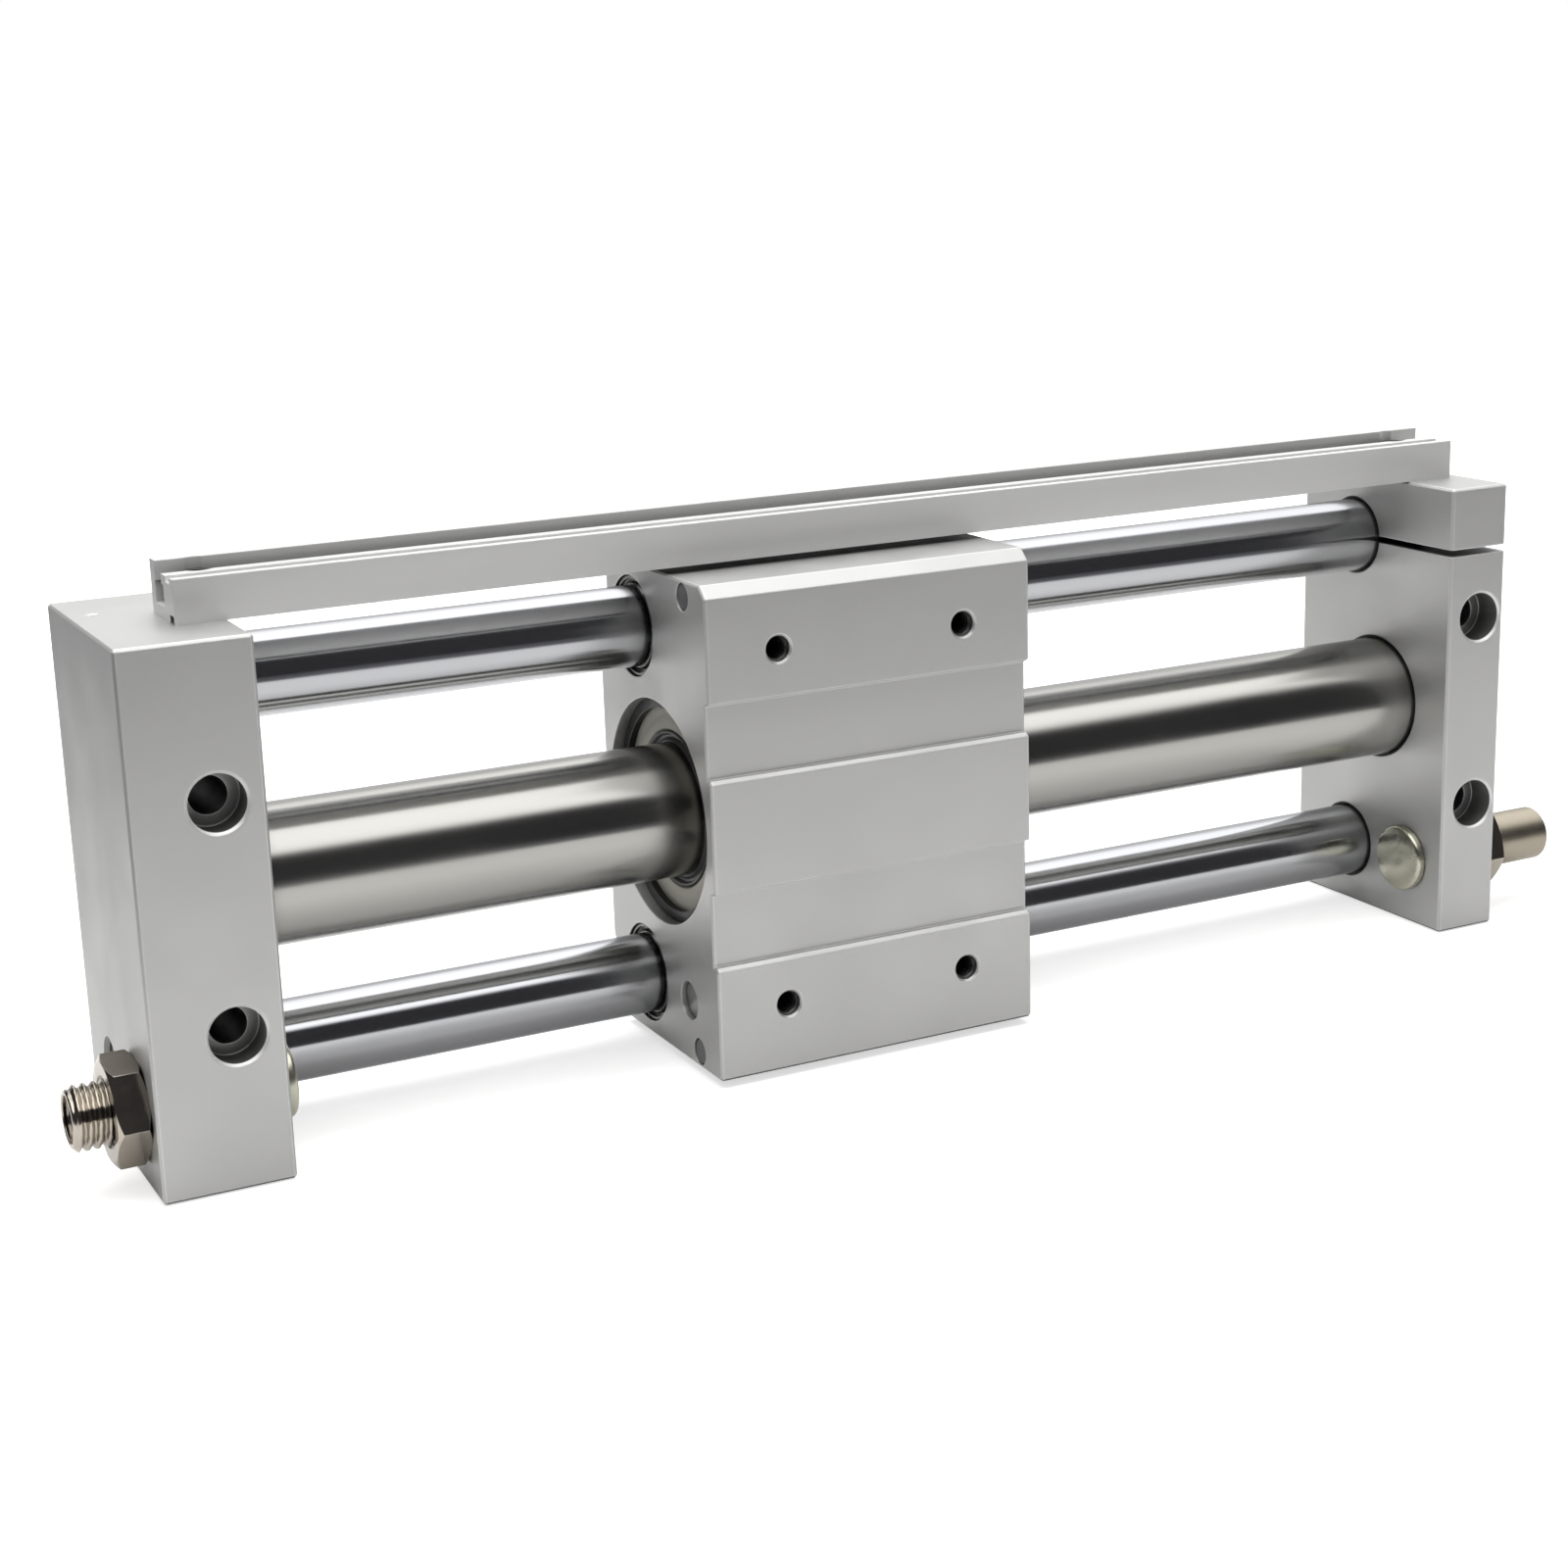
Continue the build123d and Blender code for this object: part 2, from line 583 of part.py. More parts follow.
# Both ends of the magnet housing: retaining ring, side cover, scraper and wear ring
cover_outer = housing_bore - 2 * fit
liner_outer = cover_hole_diameter - 2 * fit
liner_inner = tube_outer + 2 * running
wear_ring_thickness = cover_thickness - scraper_thickness
x_cover_left = x_table + ring_setback + ring_thickness
x_cover_right = x_table_end - ring_setback - ring_thickness - cover_thickness
x_stack = x_cover_left + cover_thickness
stack_length = x_cover_right - x_stack
ear_radius = ring_inner_diameter / 2 - ring_ear_hole / 2
for side, x_cover, x_ring, x_scraper, x_wear in (
    (
        "left",
        x_cover_left,
        x_table + ring_setback,
        x_cover_left,
        x_cover_left + scraper_thickness,
    ),
    (
        "right",
        x_cover_right,
        x_table_end - ring_setback - ring_thickness,
        x_cover_right + wear_ring_thickness,
        x_cover_right,
    ),
):
    side_cover = disc_along_x(
        x_cover, cover_thickness, cover_outer, y_tube, z_axis, cover_hole_diameter
    )
    side_cover.part.label = f"{side}_side_cover"
    export_step(side_cover.part, f"parts/{side}_side_cover.step")

    with BuildPart() as retaining_ring:
        with BuildSketch(Plane.YZ.offset(x_ring)):
            with Locations((y_tube, z_axis)):
                Circle(ring_groove_diameter / 2 - fit)
                Circle(ring_inner_diameter / 2, mode=Mode.SUBTRACT)
                with Locations((-ring_inner_diameter / 2, 0)):
                    Rectangle(ring_gap, ring_gap, mode=Mode.SUBTRACT)
            for ear_side in (-1, 1):
                with Locations((y_tube, z_axis)):
                    with Locations((-ear_radius, ear_side * (ring_gap / 2 + ring_ear_radius))):
                        Circle(ring_ear_radius)
                        Circle(ring_ear_hole / 2, mode=Mode.SUBTRACT)
        extrude(amount=ring_thickness)
    retaining_ring.part.label = f"{side}_retaining_ring"
    export_step(retaining_ring.part, f"parts/{side}_retaining_ring.step")

    tube_scraper = disc_along_x(
        x_scraper, scraper_thickness, liner_outer, y_tube, z_axis, liner_inner
    )
    tube_scraper.part.label = f"{side}_tube_scraper"
    export_step(tube_scraper.part, f"parts/{side}_tube_scraper.step")

    tube_wear_ring = disc_along_x(
        x_wear, wear_ring_thickness, liner_outer, y_tube, z_axis, liner_inner
    )
    tube_wear_ring.part.label = f"{side}_tube_wear_ring"
    export_step(tube_wear_ring.part, f"parts/{side}_tube_wear_ring.step")

# Outer magnets and yokes, stacked in a sleeve
sleeve_inner = cover_outer - 2 * sleeve_wall
outer_magnet_sleeve = disc_along_x(
    x_stack, stack_length, cover_outer, y_tube, z_axis, sleeve_inner
)
outer_magnet_sleeve.part.label = "outer_magnet_sleeve"
export_step(outer_magnet_sleeve.part, "parts/outer_magnet_sleeve.step")

yoke_count = magnet_count + 1
magnet_thickness = (stack_length - yoke_count * yoke_thickness) / magnet_count
stack_pitch = magnet_thickness + yoke_thickness
yoke_starts = [x_stack + i * stack_pitch for i in range(yoke_count)]
magnet_starts = [x_stack + yoke_thickness + i * stack_pitch for i in range(magnet_count)]


def ring_row(starts, length, outer, inner):
    """Equal rings on the tube's axis, one at each start."""
    with BuildPart() as row:
        for x in starts:
            with BuildSketch(Plane.YZ.offset(x)):
                with Locations((y_tube, z_axis)):
                    Circle(outer / 2)
                    Circle(inner / 2, mode=Mode.SUBTRACT)
            extrude(amount=length)
    return row


stack_outer = sleeve_inner - 2 * fit
outer_magnets = ring_row(magnet_starts, magnet_thickness, stack_outer, outer_magnet_inner)
outer_magnets.part.label = "outer_magnets"
export_step(outer_magnets.part, "parts/outer_magnets.step")

outer_yokes = ring_row(yoke_starts, yoke_thickness, stack_outer, outer_yoke_inner)
outer_yokes.part.label = "outer_yokes"
export_step(outer_yokes.part, "parts/outer_yokes.step")

# Guide bushes and the seals in front of them
rod_slide_hole = rod_diameter + 2 * running
for rod_name, z_rod in (("upper", z_upper), ("lower", z_lower)):
    for side, x_seal, x_bush in (
        ("left", x_table + seal_setback, x_table + seal_setback + seal_thickness),
        (
            "right",
            x_table_end - seal_setback - seal_thickness,
            x_table_end - seal_setback - seal_thickness - bush_length,
        ),
    ):
        rod_seal = disc_along_x(x_seal, seal_thickness, bush_outer, y_rod, z_rod, rod_slide_hole)
        rod_seal.part.label = f"{rod_name}_{side}_rod_seal"
        export_step(rod_seal.part, f"parts/{rod_name}_{side}_rod_seal.step")

        guide_bush = disc_along_x(x_bush, bush_length, bush_outer, y_rod, z_rod, rod_slide_hole)
        guide_bush.part.label = f"{rod_name}_{side}_guide_bush"
        export_step(guide_bush.part, f"parts/{rod_name}_{side}_guide_bush.step")

# Stop pads and sensor magnets, pressed into the table's end faces
pad_diameter = pad_hole_diameter - 2 * fit
for side, x_pad in (
    ("left", x_table + pad_hole_depth - pad_thickness),
    ("right", x_table_end - pad_hole_depth),
):
    stop_pad = disc_along_x(x_pad, pad_thickness, pad_diameter, y_stop, z_lower)
    stop_pad.part.label = f"{side}_stop_pad"
    export_step(stop_pad.part, f"parts/{side}_stop_pad.step")

with BuildPart() as sensor_magnets:
    for x_pin in (x_table + magnet_pin_depth - magnet_pin_length, x_table_end - magnet_pin_depth):
        with BuildSketch(Plane.YZ.offset(x_pin)):
            with Locations(*magnet_pin_points):
                Circle(magnet_pin_diameter / 2 - fit)
        extrude(amount=magnet_pin_length)
sensor_magnets.part.label = "sensor_magnets"
export_step(sensor_magnets.part, "parts/sensor_magnets.step")

# Piston inside the tube: magnets and yokes between two sealed heads on one shaft
shaft_hole = piston_shaft_diameter + 2 * fit
inner_magnets = ring_row(magnet_starts, magnet_thickness, inner_magnet_outer, shaft_hole)
inner_magnets.part.label = "inner_magnets"
export_step(inner_magnets.part, "parts/inner_magnets.step")

inner_yokes = ring_row(yoke_starts, yoke_thickness, inner_yoke_outer, shaft_hole)
inner_yokes.part.label = "inner_yokes"
export_step(inner_yokes.part, "parts/inner_yokes.step")

x_heads_start = x_stack - piston_length
x_heads_end = x_stack + stack_length + piston_length
x_shaft = x_heads_start - piston_nut_thickness - shaft_end
shaft_length = x_heads_end + piston_nut_thickness + shaft_end - x_shaft
piston_shaft = disc_along_x(x_shaft, shaft_length, piston_shaft_diameter, y_tube, z_axis)
piston_shaft.part.label = "piston_shaft"
export_step(piston_shaft.part, "parts/piston_shaft.step")

sliding_outer = tube_inner - 2 * running
for side, x_head_out, inward in (("left", x_heads_start, 1), ("right", x_heads_end, -1)):
    head_plane = Plane(origin=(x_head_out, y_tube, z_axis), x_dir=(0, 1, 0), z_dir=(inward, 0, 0))
    with BuildPart() as piston:
        with BuildSketch(head_plane):
            Circle(piston_outer / 2)
            Circle(shaft_hole / 2, mode=Mode.SUBTRACT)
        extrude(amount=piston_length)
        for groove_start, groove_width, groove_inner in (
            (piston_seal_groove, piston_seal_width, piston_seal_inner),
            (wear_groove, wear_width, wear_inner),
        ):
            with BuildSketch(head_plane.offset(groove_start)):
                Circle(piston_outer / 2)
                Circle(groove_inner / 2, mode=Mode.SUBTRACT)
            extrude(amount=groove_width, mode=Mode.SUBTRACT)
    piston.part.label = f"{side}_piston"
    export_step(piston.part, f"parts/{side}_piston.step")

    with BuildPart() as piston_seal:
        with BuildSketch(head_plane.offset(piston_seal_groove)):
            Circle(sliding_outer / 2)
            Circle(piston_seal_inner / 2 + fit, mode=Mode.SUBTRACT)
        extrude(amount=piston_seal_width)
    piston_seal.part.label = f"{side}_piston_seal"
    export_step(piston_seal.part, f"parts/{side}_piston_seal.step")

    with BuildPart() as piston_wear_ring:
        with BuildSketch(head_plane.offset(wear_groove)):
            Circle(sliding_outer / 2)
            Circle(wear_inner / 2 + fit, mode=Mode.SUBTRACT)
        extrude(amount=wear_width)
    piston_wear_ring.part.label = f"{side}_piston_wear_ring"
    export_step(piston_wear_ring.part, f"parts/{side}_piston_wear_ring.step")

with BuildPart() as piston_nuts:
    for x_nut in (x_heads_start - piston_nut_thickness, x_heads_end):
        with BuildSketch(Plane.YZ.offset(x_nut)):
            with Locations((y_tube, z_axis)):
                RegularPolygon(piston_nut_flats / 2, 6, major_radius=False)
                Circle(shaft_hole / 2, mode=Mode.SUBTRACT)
        extrude(amount=piston_nut_thickness)
piston_nuts.part.label = "piston_nuts"
export_step(piston_nuts.part, "parts/piston_nuts.step")

# Stops: a bolt screwed through each plate, its bumper inside and its lock nut outside
nut_corner = nut_flats / 2 / cos(pi / 6)
nut_drop = (nut_corner - nut_flats / 2) * tan(radians(nut_slope))
for side, x_out, inward, setting, plate_width in (
    ("left", x_left_out, 1, left_setting, left_plate_width),
    ("right", x_right_out, -1, right_setting, right_plate_width),
):
    x_bolt_in = x_out + inward * (plate_width + setting)
    bolt_plane = Plane(origin=(x_bolt_in, y_stop, stop_z), x_dir=(0, 1, 0), z_dir=(-inward, 0, 0))
    with BuildPart() as adjusting_bolt:
        with BuildSketch(bolt_plane):
            Circle(bolt_diameter / 2)
        extrude(amount=bolt_length)
        chamfer(adjusting_bolt.edges().sort_by(Axis.X, reverse=inward < 0)[0:1], bolt_chamfer)
        with BuildSketch(bolt_plane.offset(bolt_length)):
            RegularPolygon(bolt_hex / 2, 6, major_radius=False)
        extrude(amount=-bolt_hex_depth, mode=Mode.SUBTRACT)
        with BuildSketch(bolt_plane):
            Circle(bumper_stem_diameter / 2 + running)
        extrude(amount=bumper_stem_length, mode=Mode.SUBTRACT)
    adjusting_bolt.part.label = f"{side}_adjusting_bolt"
    export_step(adjusting_bolt.part, f"parts/{side}_adjusting_bolt.step")

    with BuildPart() as stop_bumper:
        with BuildSketch(bolt_plane):
            Circle(bumper_diameter / 2)
        extrude(amount=-bumper_thickness)
        bumper_rim = stop_bumper.edges().sort_by(Axis.X, reverse=inward > 0)[0:1]
        chamfer(bumper_rim, bumper_chamfer)
        with BuildSketch(bolt_plane):
            Circle(bumper_stem_diameter / 2)
        extrude(amount=bumper_stem_length)
    stop_bumper.part.label = f"{side}_stop_bumper"
    export_step(stop_bumper.part, f"parts/{side}_stop_bumper.step")

    nut_plane = Plane(origin=(x_out, y_stop, stop_z), x_dir=(0, -1, 0), z_dir=(-inward, 0, 0))
    with BuildPart() as lock_nut:
        with BuildSketch(nut_plane):
            RegularPolygon(
                nut_flats / 2, 6, major_radius=False, rotation=inward * (nut_turn + hexagon_step / 2)
            )
        extrude(amount=nut_thickness)
        with BuildSketch(Plane(origin=nut_plane.origin, x_dir=nut_plane.x_dir, z_dir=(0, 0, 1))):
            with BuildLine():
                Polyline(
                    (0, 0),
                    (nut_flats / 2, 0),
                    (nut_corner, -inward * nut_drop),
                    (nut_corner, -inward * (nut_thickness - nut_drop)),
                    (nut_flats / 2, -inward * nut_thickness),
                    (0, -inward * nut_thickness),
                    close=True,
                )
            make_face()
        revolve(axis=Axis((x_out, y_stop, stop_z), (1, 0, 0)), mode=Mode.INTERSECT)
        with BuildSketch(nut_plane):
            Circle(bolt_bore / 2)
        extrude(amount=nut_thickness, mode=Mode.SUBTRACT)
    lock_nut.part.label = f"{side}_lock_nut"
    export_step(lock_nut.part, f"parts/{side}_lock_nut.step")
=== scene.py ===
import json
from math import cos, pi, radians, sin

import bmesh
import bpy
import numpy as np
from mathutils import Matrix, Vector


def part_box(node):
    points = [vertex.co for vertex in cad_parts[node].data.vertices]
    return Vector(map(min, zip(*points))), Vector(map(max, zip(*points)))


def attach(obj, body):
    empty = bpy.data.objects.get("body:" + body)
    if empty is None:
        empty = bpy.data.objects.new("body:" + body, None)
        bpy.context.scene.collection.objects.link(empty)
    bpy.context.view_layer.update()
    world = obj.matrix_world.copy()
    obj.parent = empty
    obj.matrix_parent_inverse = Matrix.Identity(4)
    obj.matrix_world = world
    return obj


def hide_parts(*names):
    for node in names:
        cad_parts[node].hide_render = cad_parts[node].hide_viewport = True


# A magnetic rodless cylinder, dressed for its studio picture. Lengths are in metres, and in mm in the
# dictionaries of the pieces.
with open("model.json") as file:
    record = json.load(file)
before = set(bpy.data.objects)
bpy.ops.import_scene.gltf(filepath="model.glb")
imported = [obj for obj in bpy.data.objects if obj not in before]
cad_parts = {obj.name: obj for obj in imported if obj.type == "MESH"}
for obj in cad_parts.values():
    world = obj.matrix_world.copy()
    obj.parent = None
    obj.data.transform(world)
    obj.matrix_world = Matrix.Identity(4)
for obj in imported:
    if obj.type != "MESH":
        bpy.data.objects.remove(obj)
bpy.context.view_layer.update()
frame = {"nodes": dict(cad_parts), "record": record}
mm = 0.001
print("frame loaded:", len(frame["nodes"]), "nodes")

camera = {
    "place": (-0.24624, -0.45147, 0.18483),
    "yaw": 0.471533371,
    "pitch": -0.252590890,
    "roll": -0.0291823049,
    "lens": 59.892,
    "sensor": 36.0,
    "nearest": 0.01,
    "farthest": 20.0,
    "shiftX": -0.00924,
    "shiftY": -0.01144,
}


def placeCamera(values):
    yaw, pitch, roll = values["yaw"], values["pitch"], values["roll"]
    ahead = Vector((sin(yaw) * cos(pitch), cos(yaw) * cos(pitch), sin(pitch)))
    right = Vector((cos(yaw), -sin(yaw), 0))
    up = right.cross(ahead)
    rolledRight = right * cos(roll) + up * sin(roll)
    rolledUp = up * cos(roll) - right * sin(roll)
    data = bpy.data.cameras.new("camera")
    data.sensor_width = values["sensor"]
    data.lens = values["lens"]
    data.shift_x, data.shift_y = values["shiftX"], values["shiftY"]
    data.clip_start, data.clip_end = values["nearest"], values["farthest"]
    obj = bpy.data.objects.new("camera", data)
    turn = Matrix((rolledRight, rolledUp, -ahead)).transposed().to_4x4()
    obj.matrix_world = Matrix.Translation(values["place"]) @ turn
    bpy.context.scene.collection.objects.link(obj)
    bpy.context.scene.camera = obj


placeCamera(camera)
bpy.context.scene.view_settings.view_transform = "Standard"
print("camera placed")


def addNode(tree, kind, links=None, **values):
    # values set the node's settings or inputs (_ for a blank), and links join sockets to its inputs
    node = tree.nodes.new(kind)
    for name, value in values.items():
        if hasattr(node, name):
            setattr(node, name, value)
        else:
            node.inputs[name.replace("_", " ")].default_value = value
    for name, socket in (links or {}).items():
        tree.links.new(socket, node.inputs[name])
    return node


def newGroup(name, inputs, outputs):
    # an empty node group with the inputs' values and the outputs' kinds
    group = bpy.data.node_groups.new(name, "ShaderNodeTree")
    for label, value in inputs.items():
        kind = "NodeSocketVector" if isinstance(value, tuple) else "NodeSocketFloat"
        group.interface.new_socket(label, in_out="INPUT", socket_type=kind).default_value = value
    for label, kind in outputs.items():
        group.interface.new_socket(label, in_out="OUTPUT", socket_type=kind)
    return group, group.nodes.new("NodeGroupInput").outputs, group.nodes.new("NodeGroupOutput").inputs


def makeGrainGroup():
    # fine grain: noise at the grain's size for height, and broad noise that shades the colour
    group, ins, outs = newGroup(
        "grain",
        {"Grain Scale": 4000.0, "Cloud Scale": 60.0, "Stretch": (1.0, 1.0, 1.0), "Cloud Depth": 0.06},
        {"Height": "NodeSocketFloat", "Tint": "NodeSocketFloat", "Cloud": "NodeSocketFloat"},
    )
    where = addNode(group, "ShaderNodeTexCoord").outputs["Object"]
    stretched = addNode(group, "ShaderNodeVectorMath", operation="MULTIPLY")
    group.links.new(where, stretched.inputs[0])
    group.links.new(ins["Stretch"], stretched.inputs[1])
    fine = addNode(
        group, "ShaderNodeTexNoise", {"Vector": stretched.outputs[0], "Scale": ins["Grain Scale"]},
        Detail=2.0, Roughness=0.6,
    )
    cloud = addNode(
        group, "ShaderNodeTexNoise", {"Vector": stretched.outputs[0], "Scale": ins["Cloud Scale"]},
        Detail=3.0, Roughness=0.55,
    )
    centred = addNode(group, "ShaderNodeMath", operation="SUBTRACT")
    group.links.new(cloud.outputs["Fac"], centred.inputs[0])
    centred.inputs[1].default_value = 0.5  # the noise's middle
    mixed = addNode(group, "ShaderNodeMath", operation="MULTIPLY_ADD")
    group.links.new(centred.outputs[0], mixed.inputs[0])
    group.links.new(ins["Cloud Depth"], mixed.inputs[1])
    mixed.inputs[2].default_value = 1.0
    group.links.new(fine.outputs["Fac"], outs["Height"])
    group.links.new(mixed.outputs[0], outs["Tint"])
    group.links.new(cloud.outputs["Fac"], outs["Cloud"])
    return group


def makeEdgeGroup():
    # painted edge highlight: one less the dot product of the true normal and the normal rounded over a small
    # radius, as a mask that lightens the colour at edges
    group, ins, outs = newGroup(
        "paintedEdgeHighlight", {"Radius": 0.0004, "Gain": 6.0},
        {"Mask": "NodeSocketFloat", "Normal": "NodeSocketVector"},
    )
    rounded = addNode(group, "ShaderNodeBevel", {"Radius": ins["Radius"]}, samples=4)
    plain = addNode(group, "ShaderNodeNewGeometry").outputs["Normal"]
    dot = addNode(group, "ShaderNodeVectorMath", operation="DOT_PRODUCT")
    group.links.new(rounded.outputs[0], dot.inputs[0])
    group.links.new(plain, dot.inputs[1])
    less = addNode(group, "ShaderNodeMath", operation="SUBTRACT")
    less.inputs[0].default_value = 1.0
    group.links.new(dot.outputs["Value"], less.inputs[1])
    gained = addNode(group, "ShaderNodeMath", operation="MULTIPLY", use_clamp=True)
    group.links.new(less.outputs[0], gained.inputs[0])
    group.links.new(ins["Gain"], gained.inputs[1])
    group.links.new(gained.outputs[0], outs["Mask"])
    group.links.new(rounded.outputs[0], outs["Normal"])
    return group


def makePaintedShadeGroup():
    # painted cavity shade: the open share of the sky seen from a point, over the share that counts as open,
    # at most one, raised to a power, which darkens the colour in recesses, corners and between parts
    group, ins, outs = newGroup(
        "cavity", {"Distance": 0.006, "Limit": 1.0, "Power": 1.0}, {"Open": "NodeSocketFloat"}
    )
    seen = addNode(group, "ShaderNodeAmbientOcclusion", {"Distance": ins["Distance"]}, samples=8)
    share = addNode(group, "ShaderNodeMath", operation="DIVIDE", use_clamp=True)
    group.links.new(seen.outputs["AO"], share.inputs[0])
    group.links.new(ins["Limit"], share.inputs[1])
    raised = addNode(group, "ShaderNodeMath", operation="POWER")
    group.links.new(share.outputs[0], raised.inputs[0])
    group.links.new(ins["Power"], raised.inputs[1])
    group.links.new(raised.outputs[0], outs["Open"])
    return group


grainGroup = makeGrainGroup()
edgeGroup = makeEdgeGroup()
paintedShadeGroup = makePaintedShadeGroup()


def placeGroup(tree, group, values):
    node = tree.nodes.new("ShaderNodeGroup")
    node.node_tree = group
    for name, value in values.items():
        node.inputs[name].default_value = value
    return node.outputs


# cavity, cavityLimit and cavityPower set each finish's painted shade in recesses, and edgeColour, edgeRadius
# and edgeGain its painted edge highlight
finishDefaults = {
    "cavity": 0.005, "cavityLimit": 1.0, "cavityPower": 0.8, "edgeGain": 6.0, "bumpDepth": 0.00005,
    "stretch": (1.0, 1.0, 1.0), "cloudLow": 0.3, "cloudHigh": 0.7, "latheTurn": 0.25,
}


def makeFinish(name, values):
    # colour varied by clouds, darkened by painted shade in cavities and lightened by a painted highlight at
    # edges, roughness by clouds, bump by grain
    values = {**finishDefaults, **values}
    material = bpy.data.materials.new(name)
    material.use_nodes = True
    tree = material.node_tree
    shader = tree.nodes["Principled BSDF"]
    shader.inputs["Metallic"].default_value = values["metallic"]
    grain = placeGroup(tree, grainGroup, {
        "Grain Scale": values["grainScale"],
        "Cloud Scale": values["cloudScale"],
        "Stretch": values["stretch"],
        "Cloud Depth": values["cloudDepth"],
    })
    edge = placeGroup(tree, edgeGroup, {"Radius": values["edgeRadius"], "Gain": values["edgeGain"]})
    tinted = addNode(tree, "ShaderNodeVectorMath", operation="SCALE")
    tinted.inputs[0].default_value = values["colour"]
    # painted shade: the colour is darkened where little sky is open
    cavity = placeGroup(tree, paintedShadeGroup, {
        "Distance": values["cavity"], "Limit": values["cavityLimit"], "Power": values["cavityPower"],
    })
    shade = addNode(tree, "ShaderNodeMath", operation="MULTIPLY")
    tree.links.new(grain["Tint"], shade.inputs[0])
    tree.links.new(cavity["Open"], shade.inputs[1])
    tree.links.new(shade.outputs[0], tinted.inputs["Scale"])
    # painted highlight: the colour is mixed towards the pale edge colour along edges
    highlighted = addNode(tree, "ShaderNodeMix", data_type="RGBA")
    tree.links.new(edge["Mask"], highlighted.inputs["Factor"])
    tree.links.new(tinted.outputs[0], highlighted.inputs["A"])
    highlighted.inputs["B"].default_value = (*values["edgeColour"], 1)
    tree.links.new(highlighted.outputs["Result"], shader.inputs["Base Color"])
    low, high = values["roughness"]
    rough = addNode(
        tree, "ShaderNodeMapRange", {"Value": grain["Cloud"]},
        From_Min=values["cloudLow"], From_Max=values["cloudHigh"],
    )
    rough.inputs["To Min"].default_value = low
    rough.inputs["To Max"].default_value = high
    tree.links.new(rough.outputs[0], shader.inputs["Roughness"])
    bump = addNode(
        tree, "ShaderNodeBump", {"Height": grain["Height"], "Normal": edge["Normal"]},
        Strength=values["bump"], Distance=values["bumpDepth"],
    )
    tree.links.new(bump.outputs[0], shader.inputs["Normal"])
    if "lathe" in values:
        # turned metal: the shine spreads along the axis and stays sharp round it
        around = addNode(tree, "ShaderNodeTangent", direction_type="RADIAL", axis="X")
        tree.links.new(around.outputs[0], shader.inputs["Tangent"])
        shader.inputs["Anisotropic"].default_value = values["lathe"]
        shader.inputs["Anisotropic Rotation"].default_value = values["latheTurn"]
    return material


